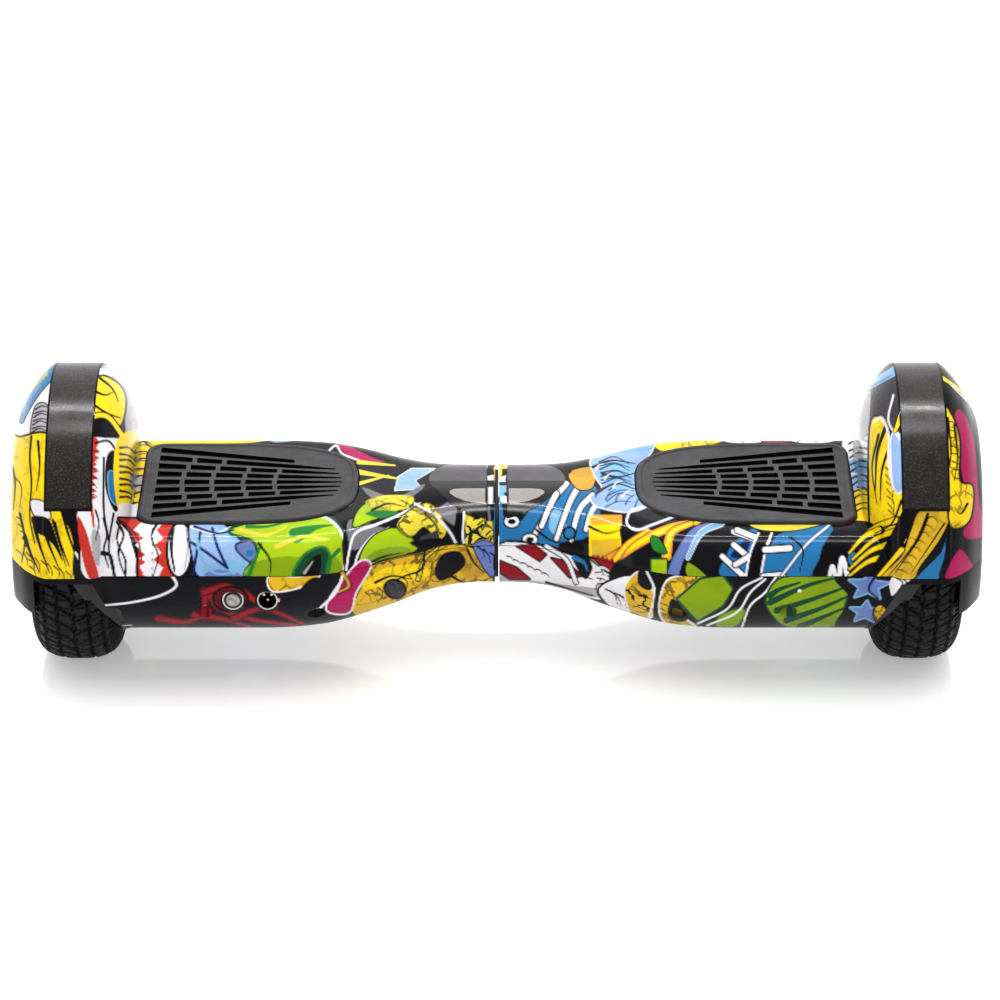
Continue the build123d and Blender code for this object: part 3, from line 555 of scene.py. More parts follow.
class Print:
    """Shapes laid one over another. Each is (outline or line, half widths of a line, how far it is
    grown, colour, crack strength, region)."""

    def __init__(self):
        self.shapes = []
        self.region = "ul"  # the shells that new shapes go on: u upper, l lower

    def patch(self, colour, *pts, edge=None, w=1.3, crack=0.0, on=None, sharp=False):
        """Filled patch, its outline smooth unless sharp."""
        on = on or self.region
        line = np.asarray(pts, float) if sharp else spline(pts)
        if edge:
            self.shapes.append((line, None, w, edge, 0.0, on))
        self.shapes.append((line, None, 0.0, colour, crack, on))

    def stroke(self, colour, *pts, w=1.2, end=None, edge=None, rim=0.8, crack=0.0, on=None):
        """Brush line, w wide at its start and end wide at its end."""
        on = on or self.region
        line = spline(pts, closed=False) if len(pts) > 2 else np.asarray(pts, float)
        widths = np.linspace(w, w if end is None else end, len(line)) / 2
        if edge:
            self.shapes.append((line, widths + rim, 0.0, edge, 0.0, on))
        self.shapes.append((line, widths, 0.0, colour, crack, on))

    def ellipse(self, colour, x, v, rx, rv, lean=0.0, **kw):
        """Round patch, leaning by some degrees."""
        lean = math.radians(lean)
        c, s = math.cos(lean), math.sin(lean)
        ring = [(rx * math.cos(t), rv * math.sin(t)) for t in np.linspace(0, 2 * np.pi, 9)[:-1]]
        self.patch(colour, *[(x + p * c - q * s, v + p * s + q * c) for p, q in ring], **kw)

    def rows(self, colour, start, end, across, count, w=1.0, **kw):
        """Even short lines from start to end, each reaching across."""
        start, end, across = np.array(start, float), np.array(end, float), np.array(across, float)
        for k in range(count):
            p = start + (end - start) * k / max(1, count - 1)
            bend = np.array([-across[1], across[0]]) * (0.16 + 0.05 * (-1) ** k)
            self.stroke(colour, p, p + across / 2 + bend, p + across, w=w, end=w * 0.4, **kw)

    def paint(self, page, region, base):
        """Colour and crack strength at each point of a page."""
        colour = np.tile(np.array(COLOURS[base], float), (len(page), 1))
        crack = np.zeros(len(page))
        for line, widths, grow, name, cracked, on in self.shapes:
            if region not in on:
                continue
            reach = grow + SOFT + (0 if widths is None else widths.max())
            low, high = line.min(0) - reach, line.max(0) + reach
            near = np.nonzero(((page >= low) & (page <= high)).all(1))[0]
            if len(near) == 0:
                continue
            d = distance(page[near], line, widths) - grow
            cover = 1 - smoothstep(d, -SOFT / 2, SOFT / 2)
            colour[near] += (np.array(COLOURS[name]) - colour[near]) * cover[:, None]
            crack[near] += (cracked - crack[near]) * cover
        return colour, crack


def distance(p, line, widths):
    """Signed distance of points to a closed patch, or to a brush line of the given half widths."""
    a = line if widths is None else line[:-1]
    b = np.roll(line, -1, 0) if widths is None else line[1:]
    best = np.full(len(p), 1e9)
    inside = np.zeros(len(p), bool)
    for k in range(len(a)):
        ab = b[k] - a[k]
        length = ab @ ab
        if length < 1e-9:
            continue
        t = np.clip(((p - a[k]) @ ab) / length, 0, 1)
        gap = np.linalg.norm(p - a[k] - t[:, None] * ab, axis=1)
        if widths is None:
            crosses = (a[k][1] > p[:, 1]) != (b[k][1] > p[:, 1])
            at = a[k][0] + (p[:, 1] - a[k][1]) * ab[0] / (ab[1] if ab[1] else 1e-9)
            inside ^= crosses & (p[:, 0] < at)
        else:
            gap = gap - (widths[k] + (widths[k + 1] - widths[k]) * t)
        best = np.minimum(best, gap)
    return np.where(inside, -best, best)


def front_view(co, back=False):
    """Where points lie in the front view, or in the back view."""
    y = -co[:, 1] if back else co[:, 1]
    z = co[:, 2] - AXLE_Z
    depth = y * math.cos(TILT) - z * math.sin(TILT)
    scale = EYE_DISTANCE / (EYE_DISTANCE + depth)
    up = z * math.cos(TILT) + y * math.sin(TILT)
    return np.stack([co[:, 0] * scale, up * scale], axis=1)


def left_arch_outer(a):
    """Left wheel arch, outer side."""
    a.patch("white", (-266, 90), (-280, 80), (-290, 64), (-292, 46), (-270, 46), (-268, 70))
    a.stroke("blue", (-268, 91), (-279, 78), (-286, 66), (-289, 58), w=7, end=2, edge="ink", rim=0.6)
    a.stroke("white", (-276, 74), (-281, 66), (-287, 52), w=3, end=2)
    a.patch("ash", (-281, 66), (-275, 69), (-272, 62), (-273, 48), (-283, 48), edge="ink", w=0.7)
    a.rows("ink", (-281, 65), (-283, 49), (9, 1), 8, w=1.1)
    a.patch("yellow", (-297, 44), (-290, 48), (-271, 48), (-272, 10), (-276, 4), (-262, 5), (-257, -18),
            (-252, -37), (-276, -39), (-296, -30), edge="ink", crack=0.25)
    a.stroke("ink", (-283, 49), (-284, 36), (-283, 20), (-284, 0), (-281, -16), w=1.4, end=0.8)
    a.stroke("ink", (-272, 48), (-273, 26), (-274, 6), w=1.2)
    a.stroke("ink", (-293, 24), (-289, 18), (-290, 6), w=0.9, end=0.4)
    a.patch("white", (-283, 10), (-274, 8), (-272, -1), (-281, 1), edge="ink", w=0.8)
    a.patch("ink", (-283, 0), (-273, -1), (-268, -12), (-264, -27), (-269, -18), (-275, -12), (-280, -9))
    for x, v, run in ((-275, -8, 24), (-269, -4, 26), (-281, -6, 28), (-287, -12, 22), (-264, 3, 30)):
        a.stroke("ink", (x, v), (x + 3, v - run * 0.4), (x + 9, v - run), w=2.6, end=0.6)
    a.rows("ink", (-292, -20), (-262, -33), (3, -8), 9, w=0.8)
    a.patch("ink", (-264, 6), (-247, 6), (-250, -8), (-246, -38), (-257, -38), (-258, -14))
    a.stroke("white", (-256, -22), (-250, -34), w=1.6, end=0.6)


def left_arch_inner(a):
    """Left wheel arch, inner side."""
    # Painted reflection: this pale ash band on the arch's inner wall stands in for the bright backdrop
    # mirrored there.
    a.patch("ash", (-238, 92), (-222, 84), (-214, 70), (-211, 44), (-224, 44), (-228, 74), (-240, 86))
    a.stroke("grey", (-226, 80), (-220, 66), (-219, 46), w=2.6, end=1.4)
    a.patch("white", (-241, 90), (-234, 88), (-236, 83), (-241, 84))
    a.patch("yellow", (-241, 85), (-230, 80), (-226, 70), (-229, 56), (-236, 60), (-246, 60), (-245, 72),
            edge="ink")
    a.stroke("ink", (-245, 68), (-237, 63), (-229, 60), w=1.6, end=0.8)
    a.patch("yellow", (-245, 62), (-236, 62), (-228, 52), (-224, 44), (-230, 42), (-246, 52), edge="ink",
            w=0.8)
    a.patch("ink", (-246, 58), (-238, 60), (-231, 52), (-228, 45), (-234, 44), (-246, 44))
    a.patch("white", (-248, 46), (-238, 48), (-227, 45), (-229, 26), (-230, 4), (-224, -10), (-220, -37),
            (-250, -37), (-253, -14), (-255, 3), (-247, 6), (-249, 26), edge="ink")
    a.stroke("red", (-245, 46), (-248, 22), (-245, -6), w=5, end=1.2)
    a.patch("red", (-255, 0), (-250, -8), (-246, -22), (-242, -37), (-248, -37), (-253, -20))
    a.patch("ink", (-237, 37), (-231, 40), (-226, 31), (-228, 12), (-232, 3), (-238, 18))
    a.patch("blue", (-236, 27), (-231, 24), (-230, 8), (-235, 12), edge="sky", w=0.7)
    a.stroke("ink", (-239, 36), (-239, 4), (-236, -14), w=1.3)
    a.stroke("ink", (-233, 2), (-236, -18), (-233, -36), w=1.4, end=0.8)
    a.stroke("ink", (-228, 0), (-231, -14), (-226, -26), (-226, -36), w=1.2)
    a.stroke("ink", (-240, -22), (-235, -24), (-232, -37), w=3, end=1)
    a.patch("ash", (-246, -8), (-241, -12), (-242, -30), (-246, -22))
    a.patch("red", *saw((-244, 46), (-247, 10), 3.4, 9), (-250, 12), (-249, 44), sharp=True)
    a.stroke("ink", (-244, 45), (-236, 46), (-231, 38), (-230, 28), w=1.5, end=0.8)
    a.stroke("ink", (-239, -1), (-237, -11), (-239, -20), (-236, -31), w=1.6, end=0.8)
    a.stroke("ink", (-231, -3), (-227, -11), (-230, -20), (-229, -28), (-226, -36), w=1.7, end=0.8)
    a.stroke("ink", (-223, -6), (-219, -15), (-219, -34), w=1.5)
    a.stroke("ink", (-244, 4), (-242, -4), (-244, -14), w=1.3, end=0.6)
    a.rows("ink", (-246, 40), (-247, 14), (4, -2), 6, w=0.7)


def left_deck(a):
    """Deck beside the left wheel, and its rear edge."""
    a.patch("yellow", (-230, 48), (-196, 52), (-138, 50), (-146, 45), (-200, 42), (-208, 30), (-214, 4),
            (-230, 3), crack=0.1)
    a.patch("ash", (-222, 26), (-210, 22), (-212, 16), (-222, 18))
    a.patch("white", (-229, 8), (-216, 6), (-216, -2), (-228, -2))
    a.rows("ink", (-229, 42), (-229, 12), (9, -4), 9, w=1.6)
    a.rows("grey", (-220, 40), (-222, 12), (8, 3), 7, w=1.4)
    a.rows("ink", (-219, 44), (-222, 8), (10, -1), 8, w=1.1)
    a.stroke("ink", (-216, 48), (-213, 44), (-207, 40), w=1.8, end=0.8)
    a.patch("sky", (-138, 49), (-128, 49), (-124, 46), (-136, 45))
    a.patch("magenta", (-118, 50), (-107, 49), (-103, 45), (-116, 46))
    a.patch("magenta", (-97, 46), (-76, 36), (-68, 33), (-84, 34), (-94, 40), edge="ink", w=0.6)
    a.stroke("white", (-104, 38), (-98, 43), (-94, 38), (-84, 34), w=1.1)
    a.stroke("lemon", (-84, 33), (-62, 31), w=2.8, end=1)
    a.stroke("lemon", (-84, 27), (-60, 23), w=3.2, end=1)
    a.stroke("lemon", (-84, 20), (-66, 25), w=2.4, end=0.8)
    a.patch("mist", (-60, 24), (-52, 29), (-38, 29), (-50, 22), (-46, 17), (-62, 16), edge="white", w=0.5,
            sharp=True)
    a.patch("grey", (-82, 18), (-62, 12), (-44, 20), (-52, 12), (-70, 8))


def left_front(a):
    """Front of the left half's upper shell."""
    a.patch("red", (-230, -1), (-194, -2), (-194, -39), (-218, -39), (-218, -18), (-222, -10), edge="ink",
            sharp=True)
    a.patch("white", (-216, -3), (-202, -3), (-207, -8), (-203, -13), (-208, -17), (-204, -22),
            (-209, -26), (-203, -31), (-206, -37), (-213, -37), (-217, -31), (-212, -25), (-220, -17),
            (-214, -12), (-221, -8), sharp=True)
    a.rows("ink", (-212, -6), (-212, -34), (3, -3), 7, w=0.9)
    a.patch("white", *saw((-213, -37), (-213, -4), 4.5, 7), (-210, -4), (-210, -37), sharp=True)
    a.stroke("maroon", (-228, -3), (-219, -12), (-216, -26), w=1.4, end=0.7)
    a.ellipse("white", -193, -20, 6.8, 16, lean=-2, edge="ink", w=1.6)
    a.stroke("ink", (-197, -7), (-198, -20), (-196, -33), w=2.4, end=1)
    a.stroke("ash", (-189, -8), (-188, -20), (-190, -32), w=1.4, end=0.6)
    a.patch("mist", (-186, -4), (-168, -4), (-160, -12), (-152, -22), (-149, -37), (-178, -37),
            (-184, -28), edge="ink")
    a.patch("sky", (-178, -30), (-162, -26), (-152, -30), (-150, -37), (-176, -37))
    a.patch("lavender", (-178, -36), (-170, -32), (-158, -34), (-156, -37))
    a.stroke("sky", (-168, -7), (-158, -15), (-154, -27), (-160, -34), w=3.4, end=2)
    a.stroke("navy", (-188, -14), (-176, -22), (-164, -31), w=1.7)
    a.stroke("navy", (-164, -31), (-170, -18), (-173, -7), w=1.7)
    a.stroke("navy", (-180, -8), (-185, -36), w=1.6)
    a.stroke("white", (-186, -6), (-172, -10), (-162, -6), w=1.6, end=0.5)
    a.patch("lavender", (-158, -17), (-144, -15), (-146, -22), (-144, -30), (-154, -24), edge="navy",
            w=1.2)
    a.ellipse("blue", -150, -22, 2.6, 2, lean=20)
    a.patch("lime", (-162, -9), (-150, -4), (-120, 2), (-104, 0), (-95, -8), (-91, -22), (-95, -37),
            (-150, -37), (-145, -24), (-148, -14), edge="pine", w=1.8)
    a.patch("leaf", (-148, -28), (-128, -24), (-110, -26), (-98, -24), (-98, -37), (-150, -37))
    a.stroke("green", (-151, -36), (-147, -26), (-143, -16), w=3, end=1)
    a.stroke("green", (-152, -6), (-140, -6), (-128, -3), w=2.2, end=0.8)
    a.stroke("lemon", (-156, -8), (-140, -11), (-128, -6), w=2.4, end=0.8)
    a.patch("green", (-126, -8), (-112, -5), (-99, -5), (-110, -8), (-122, -16))
    a.patch("pine", (-123, -37), (-117, -24), (-106, -19), (-102, -26), (-106, -37), edge="green", w=1.6)
    a.patch("ink", (-119, -37), (-114, -27), (-107, -23), (-109, -37))
    a.stroke("ash", (-117, -34), (-112, -27), w=2, end=0.8)
    a.stroke("green", (-96, -20), (-102, -27), (-104, -37), w=2.6, end=1.4)
    a.stroke("lemon", (-134, -18), (-118, -12), (-102, -14), w=3, end=1)
    a.stroke("white", (-114, 1), (-103, -1), (-95, -9), (-92, -22), (-94, -37), w=1.5)
    a.patch("char", (-91, -4), (-60, -6), (-62, -18), (-80, -30), (-92, -36))
    a.patch("grey", (-90, -2), (-72, -6), (-58, -10), (-74, -14), (-88, -20))
    a.patch("lime", (-87, -6), (-84, 4), (-75, 10), (-60, 12), (-54, 8), (-64, 2), (-76, -2), edge="ink",
            w=1)
    a.patch("lemon", (-80, 9), (-68, 13), (-51, 12), (-55, 5), (-70, 4), crack=0.5)
    a.patch("green", (-80, 2), (-72, 4), (-60, 3), (-70, -1))
    a.stroke("white", (-47, 8), (-60, 1), (-74, -5), (-86, -10), (-90, -22), (-92, -36), w=1.4)
    a.stroke("white", (-66, -7), (-76, -12), (-84, -22), (-87, -32), w=1.3)
    a.patch("lime", (-83, -24), (-75, -12), (-62, -7), (-52, -13), (-49, -20), (-62, -24), (-80, -32),
            edge="ink", w=0.9)
    a.patch("leaf", (-80, -26), (-72, -20), (-58, -18), (-52, -21), (-66, -26))
    a.patch("lemon", (-60, -3), (-51, 5), (-42, 8), (-35, 2), (-31, -9), (-36, -14), (-44, -6),
            (-52, -12), (-59, -8), edge="ink", w=0.9, crack=0.8)
    a.patch("grey", (-38, 4), (-30, 9), (-21, 3), (-22, -8), (-30, -3), sharp=True)
    a.patch("dark", (-46, -12), (-36, -8), (-34, -16), (-50, -19), sharp=True)
    a.patch("ink", (-52, -15), (-34, -13), (-28, -16), (-42, -20), (-50, -18))
    a.stroke("white", (-50, 8), (-38, 1), (-29, -9), (-24, -18), w=1.5)
    a.patch("lemon", (-20, 2), (-12, -2), (-2, 3), (-2, -18), (-19, -18), edge="ink", w=0.8, crack=1.0,
            sharp=True)
    a.stroke("white", (-20, 3), (-21, -8), (-20, -18), w=1.4)
    a.patch("ink", (-24, 6), (-21, 4), (-22, -14), (-26, -12))
    a.patch("ink", (-7, 32), (0, 32), (0, -3), (-7, -3), sharp=True)
    a.patch("white", (-5.4, 18), (-2.6, 18), (-2.6, 8), (-5.4, 8), sharp=True)
    a.patch("white", (-6, 24.5), (-2, 25.5), (-2, 22), (-5.5, 22), sharp=True)
    a.stroke("grey", (-5, 6), (-4.6, -2), w=1.4)
    a.patch("lemon", (-2, 30), (1, 30), (1, 19), (-1, 20), sharp=True)


def left_waist(a):
    """Gold and violet patches over the seam near the middle."""
    a.patch("gold", (-86, -60), (-82, -42), (-76, -30), (-60, -25), (-46, -22), (-34, -18), (-18, -18),
            (-8, -26), (-3, -40), (-20, -44), (-50, -56), edge="ink", w=1.2, crack=0.7)
    a.patch("ochre", (-24, -20), (-12, -24), (-6, -34), (-18, -38), (-22, -30), crack=0.4)
    a.patch("yellow", (-82, -44), (-72, -33), (-56, -29), (-44, -30), (-42, -37), (-60, -40), crack=0.3)
    a.patch("char", (-37, -33), (-33, -24), (-24, -22), (-20, -28), (-26, -34), (-34, -38), edge="ink",
            w=1)
    a.stroke("lemon", (-48, -38), (-44, -26), (-36, -19), w=2.2, end=1, edge="ink", rim=0.7)
    a.stroke("ink", (-44, -22), (-46, -32), (-56, -36), (-64, -40), w=1.6, end=0.8)
    a.ellipse("dark", -62, -44, 6, 5, lean=-20, edge="ink")
    a.patch("lavender", (-14, -17), (-2, -17), (-2, -36), (-8, -31), edge="navy", w=0.8)
    a.rows("navy", (-12, -18), (-4, -22), (4, -8), 3, w=1.2)


def left_ink(a):
    """Ink over the left half's patches."""
    for line in (
        ((-297, 40), (-293, 22), (-294, 4)), ((-279, 46), (-278, 30), (-280, 16)),
        ((-290, 2), (-287, -14), (-289, -28)), ((-270, -2), (-266, -16), (-262, -30)),
        ((-241, 84), (-234, 78), (-230, 70)), ((-244, 76), (-238, 74), (-233, 76)),
        ((-206, -3), (-210, -12), (-206, -24), (-209, -36)), ((-145, -16), (-138, -26), (-138, -36)),
        ((-76, 4), (-66, 8), (-56, 6)), ((-78, -28), (-68, -24), (-58, -22)),
        ((-44, 2), (-38, -4), (-36, -10)), ((-74, -40), (-64, -36), (-52, -38)),
        ((-28, -36), (-20, -40), (-12, -38)), ((-18, -20), (-14, -28), (-8, -34)),
    ):
        a.stroke("ink", *line, w=1.7, end=0.5)
    a.rows("ink", (-292, 0), (-284, -30), (4, -6), 8, w=0.9)
    a.rows("ink", (-58, 10), (-40, 2), (3, -5), 7, w=0.9)
    a.rows("ink", (-14, -2), (-4, -14), (5, 3), 5, w=1.1)
    a.rows("ink", (-80, -46), (-50, -34), (3, -6), 9, w=0.8)
    a.stroke("navy", (-184, -6), (-170, -10), (-160, -8), w=1.6, end=0.8)
    a.stroke("sky", (-183, -10), (-180, -24), (-172, -34), (-160, -33), (-158, -24), w=1.8, end=1)


def left_belly(a):
    """Lower front of the left half."""
    a.stroke("white", (-198, -35), (-195, -42), (-205, -48), (-222, -52), (-240, -54), w=1.8, end=1.2)
    a.patch("dark", (-240, -56), (-230, -56), (-228, -64), (-238, -62), edge="ink", w=0.7)
    a.stroke("white", (-238, -63), (-230, -66), (-222, -66), w=1.1, end=0.5)
    for ends in (
        ((-176, -46), (-168, -56), (-146, -63), (-122, -66)), ((-184, -60), (-168, -62), (-150, -67)),
        ((-178, -45), (-177, -62)), ((-154, -46), (-144, -52), (-132, -50)),
        ((-160, -62), (-142, -56), (-118, -65)), ((-178, -46), (-164, -42), (-152, -49)),
        ((-206, -62), (-190, -64), (-176, -60)),
    ):
        a.stroke("maroon", *ends, w=5.2, end=2.6)
        a.stroke("blood", *ends, w=3.0, end=1.2)
    a.ellipse("maroon", -162, -50, 10, 7, edge="ink")
    a.patch("gold", (-138, -36), (-122, -37), (-108, -35), (-118, -42), (-136, -45), edge="white", w=1,
            crack=0.5)
    a.patch("char", (-112, -37), (-100, -40), (-108, -48), (-120, -46))
    a.patch("magenta", (-103, -57), (-99, -46), (-84, -28), (-77, -30), (-86, -46), (-90, -58),
            edge="white", w=1.1, on="ul")
    a.stroke("ochre", (-94, -34), (-90, -42), (-97, -46), w=2.2, end=1.2, edge="ink", rim=0.6, on="ul")
    a.stroke("white", (-94, -36), (-98, -46), (-108, -56), w=1.5)


def right_front(a):
    """Front of the right half's upper shell."""
    a.patch("blue", (1, 20), (5, -3), (14, -3), (22, 7), (34, 18), (46, 22), (60, 18), (62, -4),
            (52, -14), (40, -20), (1, -19), edge="ink", w=0.8)
    a.patch("sky", (34, 4), (42, 0), (40, -12), (32, -8))
    a.patch("ink", (38, -16), (60, -14), (62, -20), (44, -24))
    a.patch("lemon", (1, 31), (7, 31), (7, 27), (1, 24), sharp=True)
    a.patch("ink", (3, 29), (6.5, 29), (6.5, 21), (3, 23), sharp=True)
    a.patch("sky", (1, 19), (5.6, 19), (5.6, 10), (1, 12), sharp=True)
    a.patch("white", (1.4, 24), (5.5, 25), (5, 21), (1.4, 21), sharp=True)
    a.patch("white", (2, 12), (6, 12.5), (6, 8), (2, 9), sharp=True)
    for line in (
        ((42, 20), (34, 10), (27, -4), (20, -15)), ((36, 14), (31, 4), (27, -6)),
        ((50, 19), (44, 8), (36, -14)), ((58, 13), (50, 4), (45, -14)), ((64, 10), (58, 4), (54, -8)),
    ):
        a.stroke("white", *line, w=3.4, end=2.6, edge="ink", rim=0.9)
    for x, v in ((9, -3), (20, -14)):
        a.ellipse("white", x, v, 4.4, 3.4, edge="ink", w=1)
        a.ellipse("ink", x, v, 2.4, 1.7)
    a.ellipse("blue", 44, -10, 3, 3, edge="ink")
    a.patch("orange", (44, 26), (58, 28), (58, 18), (49, 17), edge="ink", w=0.8)
    a.patch("ochre", (46, 28), (58, 30), (57, 25), (47, 24))
    a.patch("mist", (57, 34), (66, 39), (94, 43), (88, 30), (89, 16), (93, 8), (80, 3), (62, 6), (57, 12),
            (64, 17), (60, 24), edge="white", w=0.7)
    a.patch("sky", (62, 32), (80, 34), (84, 20), (70, 14), (66, 22))
    a.rows("navy", (62, 33), (64, 20), (18, -1), 7, w=1)
    a.rows("navy", (68, 16), (66, 6), (16, 3), 4, w=0.9)
    a.patch("yellow", (56, 1), (76, 1), (75, -24), (70, -28), (63, -23), (56, -24), sharp=True)
    a.patch("orange", (57, 1), (76, 1), (76, -4), (57, -5), sharp=True)
    a.patch("gold", (57, -14), (75, -13), (74, -25), (68, -28), (58, -24), sharp=True)
    a.patch("wine", (58, -24), (66, -27), (74, -24), (78, -34), (68, -38), (60, -34))
    a.patch("char", (76, -4), (94, -8), (140, -6), (142, -37), (74, -37), (76, -22))
    for line, w in (
        (((122, -3), (104, -7), (84, -17), (68, -27)), 7), (((118, -4), (106, -10), (103, -24)), 6),
        (((92, -8), (80, -16), (72, -26)), 4),
    ):
        a.stroke("orange", *line, w=w * 0.5, end=w, edge="ink", rim=0.6)
        a.stroke("yellow", *line, w=w * 0.2, end=w * 0.5)
    a.stroke("white", (94, 7), (82, 4), (79, -4), (85, -8), (94, -5), (110, 1), w=1.4)
    a.patch("green", (94, -12), (99, -14), (103, -22), (95, -20), edge="ink", w=0.7)
    a.patch("lime", (94, -26), (103, -26), (103, -35), (94, -35), edge="pine", w=1.2, sharp=True)
    a.stroke("lavender", (132, -5), (120, -10), (111, -24), (107, -35), w=5, end=7, edge="ink", rim=0.7)
    a.stroke("sky", (136, -4), (124, -10), (116, -25), w=3.6, end=2, edge="white", rim=0.5)
    a.patch("leaf", (116, -28), (123, -32), (128, -38), (116, -36), edge="ink", w=0.7)
    a.patch("blue", (136, -36), (139, -24), (146, -14), (158, -8), (158, -36), edge="ink")
    a.patch("navy", (142, -24), (148, -16), (154, -14), (150, -24))
    for line in (
        ((144, -9), (158, -14)), ((144, -17), (156, -27)), ((137, -24), (152, -38)),
        ((145, -29), (160, -20)), ((146, -8), (166, -16)),
    ):
        a.stroke("white", *line, w=3.2, edge="ink", rim=0.8)
    a.patch("blue", (162, -37), (167, -16), (176, -9), (204, -5), (198, -18), (190, -37), edge="ink")
    a.stroke("ink", (164, -8), (158, -20), (155, -38), w=7, end=8)
    a.stroke("white", (159, -10), (154, -22), (151, -38), w=1.3)
    a.stroke("white", (167, -10), (163, -22), (160, -38), w=1.3)
    a.stroke("white", (163, -20), (178, -19), w=3.6, edge="ink", rim=0.9)
    a.stroke("white", (162, -36), (174, -35), w=3, edge="ink", rim=0.8)
    a.stroke("white", (202, -5), (188, -17), (173, -36), w=1.3, edge="navy", rim=0.6)
    a.patch("lemon", (154, -4), (176, -2), (204, -2), (182, -8), (162, -8), edge="ink", w=0.7)
    a.patch("ink", (205, -8), (220, -14), (214, -30), (212, -37), (192, -37), (198, -22))
    a.stroke("white", (202, -37), (204, -30), (206, -37), w=2.6)
    a.stroke("white", (208, -36), (210, -25), (213, -36), w=3)
    a.ellipse("blue", 217, -26, 3.6, 4.6, lean=20, edge="ink", w=0.8)


def right_arch_inner(a):
    """Right wheel arch, inner side, and the deck beside it."""
    a.patch("white", (211, 52), (228, 52), (229, 22), (213, 22), crack=0.1)
    a.patch("sky", (214, 34), (228, 35), (227, 27), (215, 27))
    a.patch("mist", (215, 25), (228, 24), (227, 15), (217, 15))
    a.patch("yellow", (216, 15), (229, 15), (229, -6), (219, -6))
    a.rows("ink", (214, 44), (217, 2), (11, 2), 11, w=1.3)
    a.rows("ink", (222, 50), (219, 18), (7, -4), 5, w=1.2)
    a.patch("dark", (245, 92), (228, 84), (226, 56), (236, 54), (246, 50), (246, 80))
    # Painted reflection: this pale ash band on the arch's inner wall stands in for the bright backdrop
    # mirrored there.
    a.patch("ash", (226, 86), (216, 76), (212, 50), (224, 48), (227, 70))
    a.stroke("sky", (244, 90), (234, 84), (224, 78), w=6, end=4, edge="ink", rim=0.4)
    a.stroke("lavender", (240, 86), (228, 79), w=1.2)
    a.patch("yellow", (227, 54), (234, 59), (239, 48), (240, 18), (247, 14), (249, -4), (244, -16),
            (232, -6), (227, -4), edge="ink", crack=0.2)
    a.stroke("ink", (236, 54), (231, 38), (230, 16), w=2.4, end=0.8)
    a.stroke("ink", (239, 44), (234, 28), (233, 10), w=1.8, end=0.7)
    a.rows("ink", (236, 30), (238, 4), (4, -9), 7, w=0.8)
    a.stroke("white", (229, 58), (234, 60), (238, 50), (238, 34), (241, 17), w=1.5)
    a.patch("mist", (240, 49), (246, 46), (246, 17), (241, 20), edge="white", w=0.8)
    a.stroke("white", (241, 74), (238, 58), (246, 46), w=1.2)
    a.stroke("yellow", (246, 62), (242, 52), w=3.4, end=1.6, edge="ink", rim=0.5)
    a.patch("char", (204, -3), (226, -3), (230, -10), (210, -12))
    for x, v, dx, dv in (
        (242, -2, -26, -16), (244, -8, -28, -18), (240, -16, -26, -16), (236, -24, -22, -12),
        (247, -14, -20, -22), (232, -8, -18, -14), (250, -22, -18, -14),
    ):
        a.stroke("ink", (x + 1, v), (x + dx / 2, v + dv * 0.3), (x + dx, v + dv), w=5.6, end=2.4)
        a.stroke("yellow", (x, v), (x + dx / 2, v + dv * 0.3), (x + dx, v + dv), w=3.8, end=1, crack=0.2)


def right_arch_outer(a):
    """Right wheel arch, front and outer side."""
    a.stroke("ink", (252, 5), (244, -12), (230, -38), w=9, end=10)
    a.patch("gold", (258, 4), (276, 6), (270, -12), (257, -30), (252, -38), (233, -38), (246, -24),
            (252, -8), edge="ink", crack=0.25)
    a.stroke("ink", (262, 0), (256, -14), (242, -34), w=1.6, end=0.6)
    a.stroke("ink", (272, -4), (264, -16), (252, -34), w=1.2, end=0.5)
    a.stroke("yellow", (246, -20), (232, -36), w=3, end=1.6, edge="ink", rim=0.7)
    a.patch("blue", (275, -8), (270, -22), (254, -38), (266, -39), (271, -36), edge="ink", w=0.8,
            sharp=True)
    a.patch("ink", (276, -6), (294, -14), (294, -40), (270, -39), (272, -24))
    a.patch("magenta", (281, -20), (287, -26), (290, -35), (274, -38), (274, -32), edge="ink", w=0.8)
    a.patch("magenta", (283, 64), (290, 46), (293, 10), (297, -10), (284, -12), (286, 6), (282, 30),
            (278, 60), edge="ink")
    a.patch("yellow", (268, 72), (276, 62), (281, 46), (281, 22), (289, 18), (287, -2), (276, -5),
            (275, 22), (273, 48), (267, 62), edge="ink", crack=0.6)
    a.patch("ink", (266, 93), (282, 82), (290, 68), (280, 66), (268, 74))
    a.stroke("lemon", (270, 85), (280, 78), (287, 70), w=2.2, end=1, edge="ink", rim=0.5)
    a.stroke("white", (276, 80), (286, 70), w=0.7)
    a.stroke("ink", (274, 60), (276, 40), (274, 24), w=1.6, end=0.6)


def right_ink(a):
    """Ink over the right half's patches."""
    for line in (
        ((5, 14), (12, 8), (20, 12)), ((24, -8), (32, -14), (40, -16)), ((58, 30), (70, 34), (84, 32)),
        ((60, 14), (72, 20), (86, 16)), ((64, 26), (74, 24), (86, 27)), ((56, -6), (66, -10), (75, -8)),
        ((232, 50), (228, 30), (231, 8)), ((246, 10), (240, -4), (230, -10)),
        ((262, 2), (254, -16), (238, -36)), ((278, 56), (280, 36), (278, 22)),
        ((286, 8), (282, 2), (278, 6)), ((178, -12), (186, -20), (184, -34)),
    ):
        a.stroke("ink", *line, w=1.6, end=0.5)
    a.rows("navy", (60, 12), (84, 6), (6, 6), 5, w=1.0)
    a.rows("white", (60, 28), (76, 12), (5, 4), 4, w=1.0)
    a.rows("ink", (274, 58), (278, 24), (5, -3), 8, w=0.9)
    a.rows("ink", (262, 0), (244, -32), (6, -3), 8, w=0.9)


